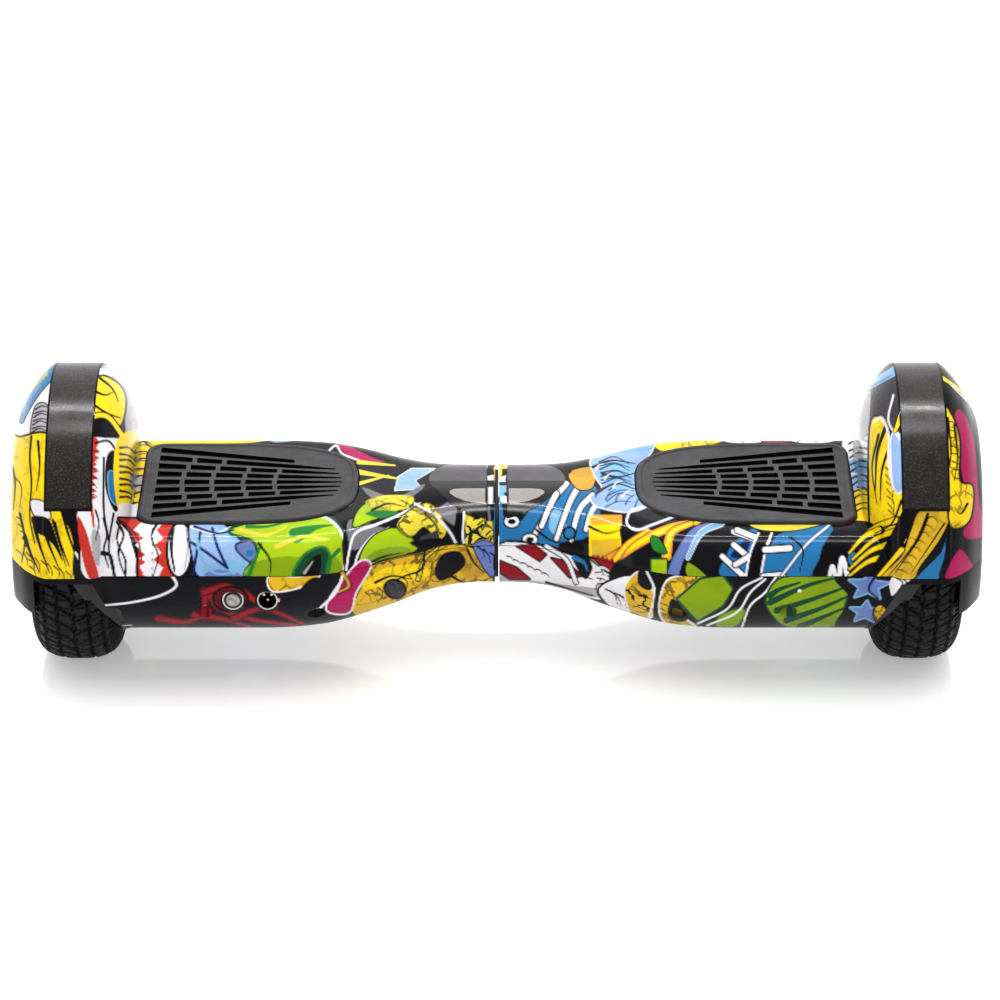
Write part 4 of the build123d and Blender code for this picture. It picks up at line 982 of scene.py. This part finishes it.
def right_rear(a):
    """Rear edge of the right half."""
    a.patch("sky", (60, 38), (78, 42), (96, 46), (92, 40), (72, 38))
    a.patch("yellow", (96, 45), (120, 48), (142, 49), (132, 44), (104, 39), crack=0.6)
    a.patch("white", (136, 49), (168, 50), (160, 45), (140, 45))
    a.patch("wine", (160, 49), (182, 49), (176, 45), (162, 45))
    a.patch("white", (178, 49), (210, 50), (202, 45), (182, 45))
    a.rows("ink", (112, 48), (200, 50), (5, -5), 9, w=1.1)


def right_waist(a):
    """Patches over the seam of the right half, near the middle."""
    a.patch("white", (2, -17), (28, -18), (46, -24), (58, -26), (68, -38), (66, -50), (50, -48),
            (24, -41), (2, -40), edge="ink")
    a.patch("ash", (2, -34), (16, -38), (30, -40), (46, -42), (62, -44), (64, -49), (48, -47), (24, -41),
            (2, -40))
    a.patch("wine", (12, -18), (22, -17), (30, -23), (26, -27), edge="ink", w=0.8, sharp=True)
    a.patch("wine", (33, -25), (41, -27), (52, -36), (44, -37), edge="ink", w=0.8, sharp=True)
    a.patch("wine", (2, -27), (12, -31), (20, -38), (8, -38), (2, -34), edge="ink", w=0.8, sharp=True)
    a.patch("wine", *saw((57, -24), (71, -27), 2.5, 5), (76, -34), (66, -32), sharp=True)
    a.stroke("ink", (28, -18), (40, -20), (50, -22), (58, -27), (64, -33), (62, -41), w=1.5, end=0.8)
    a.stroke("ink", (34, -18), (42, -26), (48, -34), (58, -38), w=1.3, end=0.6)
    a.rows("ink", (60, -44), (76, -52), (5, 5), 6, w=0.9)
    a.stroke("ink", (12, -40), (26, -42), (44, -47), w=1.3, end=0.6)
    a.rows("ink", (6, -24), (28, -34), (4, -3), 6, w=0.9)
    a.stroke("white", (30, -18), (42, -26), (48, -40), w=2.2, edge="ink", rim=0.7)
    a.patch("ink", (46, -24), (54, -24), (58, -31), (54, -38), (49, -32))
    a.stroke("blue", (47, -25), (53, -28), (55, -33), w=3.4, end=1)
    a.rows("white", (60, -32), (62, -40), (8, -1), 4, w=2, on="l")
    a.rows("ink", (60, -34), (63, -44), (6, -2), 4, w=0.8, on="l")
    a.stroke("ink", (30, -40), (44, -44), (58, -48), w=1.6, end=0.8)
    a.patch("char", (74, -26), (84, -32), (82, -38), (68, -38))


def right_belly(a):
    """Lower front of the right half."""
    a.patch("white", (62, -46), (72, -38), (84, -38), (88, -60), (78, -62), edge="ink")
    a.rows("ink", (66, -44), (80, -50), (7, -9), 6, w=1)
    a.patch("gold", (78, -44), (86, -34), (93, -40), (95, -58), (88, -63), (82, -60), edge="white", w=1.2,
            crack=1.0)
    a.patch("char", (88, -32), (94, -33), (93, -43), (87, -40), edge="ink")
    a.stroke("white", (91, -33), (96, -46), (92, -62), w=1.4)
    a.patch("char", (98, -36), (102, -38), (99, -64), (95, -60))
    a.patch("gold", (102, -42), (108, -37), (124, -36), (116, -46), (112, -52), (114, -62), (120, -67),
            (104, -65), (99, -56), edge="white", w=1.2, crack=0.7)
    a.patch("ink", (106, -50), (112, -54), (116, -62), (110, -64), (104, -60))
    a.patch("leaf", (110, -50), (124, -38), (137, -36), (143, -44), (137, -54), (122, -63), edge="pine",
            w=1.4, sharp=True)
    a.patch("leaf", (136, -60), (150, -56), (146, -66), (134, -67), edge="pine")
    a.patch("char", (148, -38), (166, -38), (164, -56), (172, -68), (150, -68), (154, -52), (140, -56))
    for line in (
        ((161, -37), (148, -44), (140, -56), (122, -65)),
        ((163, -38), (154, -46), (146, -58), (128, -66)),
        ((170, -36), (163, -46), (154, -54), (149, -67)),
        ((172, -37), (165, -48), (168, -60), (177, -67)),
    ):
        a.stroke("white", *line, w=1.3)
    a.patch("leaf", (164, -50), (172, -38), (192, -36), (214, -37), (212, -50), (204, -67), (178, -67),
            (168, -60), edge="pine")
    for line in (
        ((206, -37), (188, -42), (166, -52)), ((214, -42), (192, -50), (170, -57)),
        ((214, -48), (196, -56), (176, -63)), ((212, -55), (196, -62), (184, -67)),
        ((184, -40), (172, -44), (166, -48)),
    ):
        a.stroke("pine", *line, w=1.2, end=4)
    a.ellipse("white", 184, -45, 1.3, 1)
    a.patch("char", (206, -36), (244, -36), (240, -68), (206, -68), (214, -50))
    for x, v, r in ((226, -42, 13), (224, -58, 10)):
        spikes = zip(np.linspace(0.2, 5.9, 10), (r, r * 0.45) * 5)
        tips = [(x + q * math.cos(t), v + q * 0.7 * math.sin(t)) for t, q in spikes]
        a.patch("lavender", *tips, edge="sky", w=0.9, sharp=True)
    a.stroke("navy", (230, -36), (226, -44), (232, -50), w=1.8, end=1)
    a.patch("white", (240, -37), (254, -36), (246, -42), (240, -48))
    a.rows("ink", (243, -37), (250, -37), (4, -7), 3, w=1.2)
    a.ellipse("gold", 233, -59, 3.6, 5.2, edge="ink", w=1.2, crack=0.8)

def front_print():
    """The art of the front. Later shapes lie over earlier ones."""
    a = Print()
    for region, sections in (
        ("u", (left_arch_outer, left_arch_inner, left_deck, left_front)),
        ("ul", (left_waist, left_ink)),
        ("l", (left_belly,)),
        ("u", (right_front, right_arch_inner, right_arch_outer, right_ink, right_rear)),
        ("ul", (right_waist,)),
        ("l", (right_belly,)),
    ):
        a.region = region
        for section in sections:
            section(a)
    return a


BRIGHT = (
    "yellow", "white", "blue", "lime", "magenta", "gold", "mist", "red", "orange", "lavender", "sky",
    "dark", "leaf",
)


def scattered_print(seed, x_range, v_range, count, size):
    """The same vocabulary scattered over a page, for the sides that face away."""
    a = Print()
    draw = np.random.default_rng(seed)
    columns = max(1, int(count**0.5 * 2))
    lines = max(1, count // columns)
    for k in range(count):
        x = x_range[0] + (x_range[1] - x_range[0]) * ((k % columns) + draw.uniform(0, 1)) / columns
        v = v_range[0] + (v_range[1] - v_range[0]) * ((k // columns) + draw.uniform(0, 1)) / lines
        colour, second = draw.choice(BRIGHT, 2, replace=False)
        r = size * draw.uniform(0.6, 1.3)
        angles = np.sort(draw.uniform(0, 2 * np.pi, 7)) + np.linspace(0, 0.9, 7)
        reach = r * draw.uniform(0.55, 1.25, 7)
        pts = [(x + q * math.cos(t), v + 0.8 * q * math.sin(t)) for q, t in zip(reach, angles)]
        edge = "white" if colour in ("red", "magenta", "leaf", "dark") else "ink"
        crack = draw.choice((0, 0, 0.4, 0.9))
        a.patch(colour, *pts, edge=edge, crack=crack, sharp=draw.random() < 0.3)
        turn = draw.uniform(0, np.pi)
        along = np.array([math.cos(turn), math.sin(turn)]) * r
        side = np.array([-math.sin(turn), math.cos(turn)]) * r
        at = np.array([x, v])
        if k % 4 == 0:
            start = at - side * 0.3
            a.rows("ink", start - along * 0.5, start + along * 0.5, side * 0.7, 6, w=1.1)
        elif k % 4 == 1:
            a.stroke(second, at - along, at + side * 0.4, at + along, w=1.2, end=4.2, edge="ink")
        elif k % 4 == 2:
            for step in (-0.5, 0, 0.5):
                start = at + side * step
                a.stroke("white", start - along * 0.6, start + along * 0.7, w=2.4, edge="ink")
        else:
            a.stroke("white", at - along * 1.2, at + side * 0.5, at + along * 1.3, w=1.5)
    return a


# ---- Materials -------------------------------------------------------------------------------
class Nodes:
    """Short way to wire a material's nodes."""

    def __init__(self, name):
        self.material = bpy.data.materials.new(name)
        self.material.use_nodes = True
        self.tree = self.material.node_tree
        self.tree.nodes.clear()
        self.shader = self.add("ShaderNodeBsdfPrincipled")
        self.link(self.shader.outputs[0], self.add("ShaderNodeOutputMaterial").inputs[0])
        self.place = self.add("ShaderNodeTexCoord").outputs["Object"]

    def add(self, kind, **settings):
        node = self.tree.nodes.new(kind)
        for key, value in settings.items():
            setattr(node, key, value)
        return node

    def link(self, source, target):
        self.tree.links.new(source, target)

    def feed(self, node, **values):
        """Sets inputs of a node. Each value is a number, a colour or vector, or a socket."""
        for key, value in values.items():
            socket = node.inputs[key.replace("_", " ")]
            if isinstance(value, (int, float)):
                socket.default_value = value
            elif isinstance(value, tuple):
                socket.default_value = (*value, 1) if len(socket.default_value) == 4 else value
            else:
                self.link(value, socket)
        return node

    def set(self, **values):
        self.feed(self.shader, **values)

    def noise(self, scale, detail=3.0, rough=0.5, stretch=None, output="Fac"):
        where = self.place
        if stretch:
            where = self.feed(self.add("ShaderNodeMapping"), Vector=where, Scale=stretch).outputs[0]
        node = self.add("ShaderNodeTexNoise")
        return self.feed(node, Scale=scale, Detail=detail, Roughness=rough, Vector=where).outputs[output]

    def ramp(self, source, low, high, start=0.35, end=0.65):
        """Maps a value onto low..high between start and end."""
        node = self.feed(self.add("ShaderNodeMapRange"), Value=source, From_Min=start, From_Max=end)
        return self.feed(node, To_Min=low, To_Max=high).outputs[0]

    def drift(self, scale, one, other, detail=4.0, start=0.35, end=0.65, rough=0.5):
        """A value that drifts between two over the surface."""
        return self.ramp(self.noise(scale, detail, rough), one, other, start, end)

    def product(self, a, b):
        node = self.add("ShaderNodeMath", operation="MULTIPLY", use_clamp=True)
        self.link(a, node.inputs[0])
        self.link(b, node.inputs[1])
        return node.outputs[0]

    def mix(self, fac, a, b):
        """Colour mix; a and b are colours or sockets."""
        node = self.add("ShaderNodeMix", data_type="RGBA")
        for value, key in ((fac, 0), (a, 6), (b, 7)):
            if isinstance(value, (int, float)):
                node.inputs[key].default_value = value
            elif isinstance(value, tuple):
                node.inputs[key].default_value = (*value, 1)
            else:
                self.link(value, node.inputs[key])
        return node.outputs[2]

    def bump(self, height, strength, depth=0.0002):
        node = self.feed(self.add("ShaderNodeBump"), Strength=strength, Distance=depth, Height=height)
        self.link(node.outputs[0], self.shader.inputs["Normal"])


MATERIALS = {}


def surface(slot, tone, other, rough, grain=900, bump=0.25, depth=0.00015, spread=30, stretch=None,
            name=None, **extra):
    """Slot's material, whose colour drifts between two tones, with a fine grain and worn patches."""
    n = Nodes(name or slot)
    n.set(Base_Color=n.mix(n.drift(spread, 0.0, 1.0), tone, other), **extra)
    n.set(Roughness=n.drift(spread * 3, rough - 0.07, rough + 0.07, rough=0.6))
    n.bump(n.noise(grain, 3, 0.6, stretch), bump, depth)
    MATERIALS[slot] = n.material


def printed_material(name, coat):
    """Glossy print under a clear coat. Cracks follow the print's own crack strength."""
    n = Nodes(name)
    ink = n.add("ShaderNodeAttribute", attribute_name="print").outputs["Color"]
    cracked = n.add("ShaderNodeAttribute", attribute_name="crack").outputs["Fac"]
    shift = n.add("ShaderNodeMix", data_type="RGBA", blend_type="LINEAR_LIGHT")
    shift.inputs[0].default_value = 0.006
    n.link(n.place, shift.inputs[6])
    n.link(n.noise(110, 4, output="Color"), shift.inputs[7])
    cells = n.add("ShaderNodeTexVoronoi", feature="DISTANCE_TO_EDGE")
    n.feed(cells, Scale=105, Vector=shift.outputs[2])
    line = n.ramp(cells.outputs["Distance"], 1.0, 0.0, 0.06, 0.10)
    line = n.product(n.product(line, n.drift(70, 0.0, 1.0, 2, 0.40, 0.52)), cracked)
    tint = n.mix(n.drift(38, 0.0, 0.16, 5, 0.42, 0.66, 0.62), ink, (0.02, 0.018, 0.02))
    n.set(Base_Color=n.mix(line, tint, (0.014, 0.012, 0.012)), Roughness=n.drift(24, 0.20, 0.30))
    n.set(Coat_Weight=coat, Coat_IOR=1.4, Coat_Roughness=n.drift(60, 0.03, 0.07, 5, rough=0.6))
    n.set(Specular_IOR_Level=0.04)
    n.bump(n.noise(420, 3), 0.10, 0.0001)
    return n.material


def trim_material():
    """Charcoal moulding with fine pale speckle."""
    n = Nodes("speckled_trim")
    base = n.mix(n.drift(60, 0.0, 1.0), (0.009, 0.0075, 0.007), (0.015, 0.013, 0.012))
    specks = n.drift(1100, 0.0, 0.7, 2, 0.54, 0.70, 0.7)
    n.set(Base_Color=n.mix(specks, base, (0.085, 0.075, 0.07)))
    n.set(Roughness=n.drift(1300, 0.32, 0.46, 2), Specular_IOR_Level=0.12)
    n.set(Coat_Weight=0.5, Coat_Roughness=n.drift(120, 0.17, 0.25, 3))
    n.bump(n.noise(1400, 2), 0.35, 0.00015)
    return n.material


def tyre_material():
    """Black rubber, dusty in patches."""
    n = Nodes("tyre_rubber")
    dust = n.drift(45, 0.0, 1.0, 6, 0.45, 0.75, 0.65)
    n.set(Base_Color=n.mix(dust, (0.003, 0.003, 0.004), (0.007, 0.0068, 0.008)), Specular_IOR_Level=0.2)
    n.set(Roughness=n.drift(200, 0.42, 0.62))
    n.bump(n.noise(800, 4, 0.6), 0.35, 0.0002)
    return n.material


def panel_material():
    """Black gloss whose top turns to a painted grey reflection towards the back."""
    n = Nodes("panel_gloss")
    split = n.feed(n.add("ShaderNodeSeparateXYZ"), Vector=n.place)
    back = n.ramp(split.outputs["Y"], 0.0, 1.0, -0.0045, -0.0028)
    # Painted reflection: this grey towards the back stands in for the bright horizon mirrored in the
    # gloss.
    painted_reflection = n.mix(n.drift(50, 0.0, 1.0), (0.050, 0.046, 0.050), (0.066, 0.061, 0.066))
    n.set(Base_Color=n.mix(back, (0.0025, 0.0025, 0.003), painted_reflection))
    n.set(Roughness=n.drift(90, 0.16, 0.24), Specular_IOR_Level=0.35)
    n.bump(n.noise(500, 2), 0.05, 0.0001)
    return n.material


def rim_material(name, centre, reach, inside):
    """Satin metal ring about a (x, z) centre on the front, and another colour within reach of it."""
    n = Nodes(name)
    across = n.add("ShaderNodeVectorMath", operation="MULTIPLY_ADD")
    across.inputs[1].default_value = (1, 0, 1)
    across.inputs[2].default_value = (-centre[0] * MM, 0, -centre[1] * MM)
    n.link(n.place, across.inputs[0])
    length = n.add("ShaderNodeVectorMath", operation="LENGTH")
    n.link(across.outputs[0], length.inputs[0])
    ring = n.ramp(length.outputs["Value"], 0.0, 1.0, reach * MM, (reach + 0.15) * MM)
    metal = n.mix(n.drift(30, 0.0, 1.0), (0.40, 0.385, 0.37), (0.32, 0.31, 0.295))
    n.set(Base_Color=n.mix(ring, inside, metal), Metallic=ring, Specular_IOR_Level=0.2)
    n.set(Roughness=n.drift(90, 0.24, 0.36))
    n.bump(n.noise(900, 3), 0.15, 0.0001)
    return n.material


def make_materials():
    """One material to each slot of the record, and those of the pieces built here."""
    MATERIALS["printed_shell"] = printed_material("printed_gloss", 0.22)
    MATERIALS["printed_belly"] = printed_material("printed_satin", 0.07)
    MATERIALS["trim_plastic"] = trim_material()
    MATERIALS["panel"] = panel_material()
    MATERIALS["socket"] = rim_material("socket_rim", SOCKET_AT, 5.25, (0.004, 0.004, 0.004))
    MATERIALS["bezel"] = rim_material("button_rim", BUTTON_AT, 5.4, (0.035, 0.032, 0.031))
    MATERIALS["tyre_rubber"] = tyre_material()

    # Plastics and rubbers.
    surface("bare_shell", (0.010, 0.010, 0.010), (0.016, 0.015, 0.016), 0.5, Specular_IOR_Level=0.3)
    surface("black_gloss", (0.013, 0.013, 0.015), (0.019, 0.018, 0.021), 0.16, 500, 0.06, Coat_Weight=0.7)
    surface("lens", (0.20, 0.185, 0.175), (0.24, 0.22, 0.21), 0.25, 300, 0.12, name="smoke_lens",
            Coat_Weight=0.3)
    surface("circuit_board", (0.01, 0.09, 0.04), (0.008, 0.06, 0.03), 0.42, 300, 0.3)
    surface("cable_sheath", (0.015, 0.015, 0.016), (0.03, 0.029, 0.03), 0.55, 600, 0.3)
    surface("wheel_plastic", (0.022, 0.022, 0.024), (0.036, 0.035, 0.038), 0.38, 700, 0.35)
    surface("seal_rubber", (0.012, 0.012, 0.012), (0.022, 0.021, 0.021), 0.68, 800, 0.4)
    surface("battery_wrap", (0.02, 0.10, 0.36), (0.015, 0.075, 0.28), 0.35, 200, 0.4)
    surface("pad_rubber", (0.030, 0.029, 0.031), (0.046, 0.044, 0.047), 0.5, 1100, 0.5, 0.00018,
            Specular_IOR_Level=0.3)
    # Painted shade: the slots' walls and floors are near black, far darker than the pad's own rubber, for
    # the shade inside them.
    surface("slot_rubber", (0.002, 0.002, 0.002), (0.004, 0.004, 0.004), 0.8, 900, 0.4,
            Specular_IOR_Level=0.1)

    # Metals.
    surface("steel", (0.52, 0.51, 0.50), (0.40, 0.39, 0.39), 0.30, 700, 0.2, name="plated_steel",
            Metallic=1.0)
    surface("cast_aluminium", (0.55, 0.55, 0.56), (0.44, 0.44, 0.46), 0.46, 500, 0.5, Metallic=0.95)
    surface("iron_laminations", (0.20, 0.17, 0.15), (0.26, 0.24, 0.22), 0.5, 900, 0.6, stretch=(9, 1, 1),
            Metallic=0.8)
    surface("bearing_steel", (0.60, 0.60, 0.61), (0.50, 0.50, 0.52), 0.22, 900, 0.12, Metallic=1.0)
    surface("chrome_trim", (0.30, 0.285, 0.27), (0.24, 0.23, 0.22), 0.30, 900, 0.15, name="satin_chrome",
            Metallic=1.0)
    surface("brass_pins", (0.50, 0.44, 0.32), (0.42, 0.37, 0.28), 0.28, 900, 0.15, Metallic=1.0)
    surface("bronze_bush", (0.50, 0.32, 0.14), (0.42, 0.26, 0.12), 0.38, 600, 0.4, Metallic=0.95)
    surface("button_metal", (0.34, 0.32, 0.30), (0.17, 0.16, 0.155), 0.38, 700, 0.5, 0.0003, 420,
            Metallic=0.85)


# ---- Pieces ----------------------------------------------------------------------------------
def lay_print(obj, region, art):
    """Colours a shell: the front art where it can be seen from the front, scattered art elsewhere."""
    mesh = obj.data
    co = points(obj)
    x, y, z = np.abs(co[:, 0]), co[:, 1], co[:, 2]
    normals = read(mesh.vertices, "normal", np.float32, 3)
    eye = np.array((0, -EYE_DISTANCE * math.cos(TILT), AXLE_Z + EYE_DISTANCE * math.sin(TILT)))
    facing = (normals * (eye - co)).sum(1)
    facing_back = normals[:, 1] * math.cos(TILT) + normals[:, 2] * math.sin(TILT)
    # The rear of the end faces goes with the back, though some of it can be seen from the front.
    outer = (x > TRIM_X[1] - 0.5) & (np.abs(normals[:, 0]) > 0.6) & (y > 0)
    front = (facing > 0) & ~outer
    back = ~front & ((facing_back > -0.12) | outer)
    under = ~front & ~back
    colour = np.zeros((len(co), 3))
    crack = np.zeros(len(co))
    for mask, name, page in (
        (front, "front", front_view(co)),
        (back, "back", front_view(co, True)),
        (under, "under", co[:, :2]),
    ):
        if mask.any():
            colour[mask], crack[mask] = art[name].paint(page[mask], region, "char")
    # Painted shade: the trim's groove and a 1.3 mm band each side of it are turned to ink, standing in for
    # the shadow where the moulding meets the shell.
    groove_shade_width = 1.3
    beside = (x > TRIM_X[0] - groove_shade_width) & (x < TRIM_X[1] + groove_shade_width) & (z > TRIM_END_Z - groove_shade_width)
    colour[beside] = COLOURS["ink"]
    layer = mesh.color_attributes.new("print", "FLOAT_COLOR", "POINT")
    layer.data.foreach_set("color", np.column_stack([colour, np.ones(len(co))]).ravel().astype(np.float32))
    mesh.color_attributes.active_color = layer
    mesh.attributes.new("crack", "FLOAT", "POINT").data.foreach_set("value", crack.astype(np.float32))


def make_shells():
    """Printed shells of both halves."""
    art = {
        "front": front_print(),
        "back": scattered_print(7, (-290, 290), (-70, 92), 220, 16),
        "under": scattered_print(11, (-230, 230), (-45, 45), 14, 20),
    }
    upper = upper_shell()
    for side_name, side in SIDES:
        top = upper if side > 0 else place_object("upper", upper.data.copy())
        for obj, region, kind, skin in (
            (top, "u", "upper_shell", "printed_shell"),
            (lower_shell(side), "l", "lower_shell", "printed_belly"),
        ):
            mirrored(obj, side)
            lay_print(obj, region, art)
            node = f"{kind}_{side_name}"
            looks = (skin, "bare_shell")
            finish_piece(obj, f"printed_{node}", f"{side_name}_half", node, looks, 38)


def shrunk(outline, share):
    """Outline drawn in towards its middle."""
    outline = np.array(outline, float)
    middle = outline.mean(0)
    return middle + (outline - middle) * share


def make_panels():
    """Indicator panels and their lenses, cut from the skin of the upper body."""
    panel, lens = body_solid(True, 60), body_solid(True, 60)
    cut(panel, cavity_solid(True))
    cut(lens, cavity_solid(True))
    combine(panel, prism(shrunk(panel_outline(), 0.992), PANEL_CUT_Z), "INTERSECT")
    cut(panel, prism(LENS_EDGE, PANEL_CUT_Z))
    combine(lens, prism(shrunk(LENS_EDGE, 0.98), PANEL_CUT_Z), "INTERSECT")
    for side_name, side in SIDES:
        for solid, kind, slot, look in (
            (panel, "indicator_panel", "black_gloss", "panel"),
            (lens, "indicator_lens", "lens", "lens"),
        ):
            obj = place_object(kind, solid.data.copy())
            mirrored(obj, side)
            node = f"{kind}_{side_name}"
            finish_piece(obj, f"{node}_skin", f"{side_name}_half", node, (look,), 40)
    bpy.data.objects.remove(panel)
    bpy.data.objects.remove(lens)


def slot_pitch(x):
    """Distance between the lines of slots at x."""
    (x0, p0), (x1, p1) = SLOT_SPREAD
    return p1 + (p0 - p1) * (x - x1) / (x0 - x1)


def slot_cutter(x0, x1, line):
    """Cutter for one slot between two x. A slot that ends near the pad's nose tapers."""
    thin = 0.25 if x0 < 110 else 0.8
    stations = [(x0, thin), (x0 + 0.6, thin + 0.12), (x1 - 0.6, 1), (x1, 0.85)]
    if x1 - x0 > 28:
        stations.insert(2, (x0 + 26, 1))
    edge = [(x, line * slot_pitch(x), share * slot_pitch(x) * 0.33 + 0.05) for x, share in stations]
    outline = [(x, y + half) for x, y, half in edge] + [(x, y - half) for x, y, half in edge[::-1]]
    cutter = prism(outline, SLOT_Z)
    # The slot's cut faces take the near-black painted shade.
    cutter.data.materials.append(MATERIALS["slot_rubber"])
    return cutter


def slot_stops(line):
    """Ends of the slots on one line, from the wheel inward. The bowed ribs part them."""
    last = abs(line) == SLOT_SIDE_LINES
    outer, inner = SLOT_ENDS
    inner += 0.5 * line * line + (22 if last else 0)
    stops = [outer]
    for x, span, bow in PAD_RIBS:
        y = line * slot_pitch(x)
        middle = x - bow * (y / span) ** 2
        if abs(y) < span and not last and middle - 4 > inner:
            stops += [middle + RIB_HALF, middle - RIB_HALF]
    return [*stops, inner]


def make_pads():
    """Rubber foot pads: a bevelled slab with a raised lip, fanned slots and bowed ribs."""
    pad = rings_to_solid("pad", [[(x, y, z) for x, y in pad_outline(grow)] for grow, z in PAD_RINGS])
    pad.data.materials.append(MATERIALS["pad_rubber"])
    for line in range(-SLOT_SIDE_LINES, SLOT_SIDE_LINES + 1):
        stops = slot_stops(line)
        for start, end in zip(stops[::2], stops[1::2]):
            if start - end > 5:
                cut(pad, slot_cutter(end, start, line))
    for side_name, side in SIDES:
        obj = pad if side > 0 else place_object("pad", pad.data.copy())
        mirrored(obj, side)
        name = f"pad_{side_name}"
        looks = ("pad_rubber", "slot_rubber")
        finish_piece(obj, f"{name}_rubber", name, f"foot_{name}", looks, 30)


def groove(gap, half):
    """Depth of a groove of some half width, at a distance from its middle."""
    return 1 - smoothstep(np.abs(gap), half * 0.6, half)


def tread(x, turn):
    """How deep the tread is cut at x from the tyre's middle and a turn of 0..1. x is signed."""
    side = np.abs(x)
    step = turn * TREAD_PITCHES + np.where(x > 0, 0.5, 0.0)
    wave = np.abs(((step % 1) - 0.5) * 2) - 0.5
    across = (step + side * 0.055) % 1
    sipe = (step * 2 + side * 0.05 + 0.25) % 1
    grooves = (
        groove(x - 2.2 * wave, 1.1),
        groove(side - 9.5 - 1.6 * wave, 1.0),
        groove(side - 17.6 + 1.4 * wave, 0.9) * 0.9,
        groove((across - 0.5) * 12, 1.0) * (side < 22),
        groove((sipe - 0.5) * 6, 0.45) * 0.5 * ((side > 3) & (side < 16)),
    )
    cut_in = np.maximum.reduce(grooves) * (side < TREAD_HALF)
    ridge = smoothstep(np.abs((turn * SHOULDER_PITCHES) % 1 - 0.5), 0.18, 0.34)
    shoulder = smoothstep(side, 20.5, 21.6) * (1 - smoothstep(side, 26.0, 26.35))
    return np.maximum(cut_in, ridge * shoulder * 0.75)


def make_tyre(side_name, side):
    """One tyre with its tread, standing about the wheel's axle."""
    half = curve_through(TYRE_PROFILE, TYRE_STEP, (0.6, 0.8), (-1, 0))
    outline = np.concatenate([half[:-1], half[::-1] * (-1, 1), TYRE_BEAD])
    tangent = np.roll(outline, -1, 0) - np.roll(outline, 1, 0)
    normal = np.stack([tangent[:, 1], -tangent[:, 0]], axis=1)
    normal /= np.linalg.norm(normal, axis=1)[:, None]
    if normal[len(half) - 1, 1] < 0:
        normal = -normal
    rings = []
    for k in range(TYRE_TURNS):
        turn = k / TYRE_TURNS
        depth = tread(outline[:, 0], turn) * TREAD_DEPTH * (outline[:, 1] > TREAD_INNER_R)
        x, r = (outline - normal * depth[:, None]).T
        a = 2 * math.pi * turn
        rings.append(np.stack([side * WHEEL_X + x, r * math.cos(a), AXLE_Z + r * math.sin(a)], axis=1))
    name = f"tread_{side_name}"
    obj = rings_to_solid(name, rings, closed=True)
    finish_piece(obj, name, f"wheel_{side_name}", f"tyre_{side_name}", ("tyre_rubber",), 50)


TWO_TONE = {"charge_socket": "socket", "button_bezel": "bezel"}  # nodes with a material of their own


def dress_frame():
    """Gives every CAD node still shown the material of its slot."""
    slots = {part["node"]: part["material_slot"] for part in frame["record"]["subparts"]}
    replaced = set()
    for obj in bpy.context.scene.objects:
        replaced.update(obj.get("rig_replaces", []))
    for obj in bpy.context.scene.objects:
        if obj.type == "MESH" and obj.name in slots and obj.name not in replaced:
            for held in obj.material_slots:
                held.material = MATERIALS[TWO_TONE.get(obj.name, slots[obj.name])]


# ---- Studio, in metres -----------------------------------------------------------------------
def make_floor():
    """Pale floor, bowed up behind into a backdrop."""
    half_width, count = 9.0, 48
    bend_y, bend_r = 2.2, 1.6
    line = [(-6.0, 0.0), (bend_y, 0.0)]
    for a in np.radians(np.linspace(0, 90, 24))[1:]:
        line.append((bend_y + bend_r * math.sin(a), bend_r * (1 - math.cos(a))))
    line.append((bend_y + bend_r, 6.0))
    verts = [(x, y, z) for y, z in line for x in np.linspace(-half_width, half_width, count)]
    corners = [j * count + i for j in range(len(line) - 1) for i in range(count - 1)]
    faces = [(k, k + 1, k + count + 1, k + count) for k in corners]
    obj = new_object("floor", np.array(verts) / MM, faces)
    obj.data.polygons.foreach_set("use_smooth", [True] * len(faces))
    n = Nodes("studio_floor")
    n.set(Base_Color=(0.9, 0.9, 0.9), Roughness=0.07, Emission_Color=(1, 1, 1), Emission_Strength=0.34)
    obj.data.materials.append(n.material)


def area_light(name, place, aim, size, power, glossy=True):
    """Rectangular light that looks at aim. If not glossy, it leaves no highlight."""
    data = bpy.data.lights.new(name, "AREA")
    data.shape = "RECTANGLE"
    data.size, data.size_y = size
    data.energy = power
    obj = place_object(name, data)
    obj.location = place
    obj.rotation_euler = (Vector(aim) - Vector(place)).to_track_quat("-Z", "Y").to_euler()
    obj.visible_glossy = glossy


def make_studio():
    make_floor()
    scene = bpy.context.scene
    scene.view_settings.view_transform = "Standard"
    scene.view_settings.gamma = 0.86
    world = bpy.data.worlds.new("studio")
    world.use_nodes = True
    sky = world.node_tree.nodes["Background"]
    sky.inputs["Color"].default_value = (1, 1, 1, 1)
    sky.inputs["Strength"].default_value = 0.8
    scene.world = world
    area_light("overhead", (0, -0.6, 2.4), (0, 0, 0.1), (3.0, 1.6), 26, glossy=False)
    area_light("front", (0, -3.0, 1.3), (0, 0, 0.08), (3.2, 1.2), 14, glossy=False)
    area_light("strip", (0, 0.67, 1.95), (0, -0.075, 0.1), (1.7, 0.032), 24)
    area_light("softbox", (0, 0.05, 2.1), (0, 0, 0.15), (0.80, 0.30), 14)
    for name, side in SIDES:
        area_light(f"{name}_side", (2.2 * side, -1.4, 0.5), (0.28 * side, 0, 0.1), (0.5, 1.0), 5)


def make_camera():
    """Looks along +Y, TILT above the horizon, with the axle a little below the picture's middle."""
    data = bpy.data.cameras.new("camera")
    data.lens = 189.5
    data.clip_end = 60
    obj = place_object("camera", data)
    back, up = math.cos(TILT), math.sin(TILT)
    eye = EYE_DISTANCE * MM
    shift, lift = 0.0018, 0.0100
    obj.location = (shift, -eye * back + lift * up, AXLE_Z * MM + eye * up + lift * back)
    obj.rotation_euler = (math.radians(90) - TILT, 0, 0)
    bpy.context.scene.camera = obj


make_materials()
make_shells()
make_pads()
make_panels()
for name, direction in SIDES:
    make_tyre(name, direction)
dress_frame()
make_studio()
make_camera()
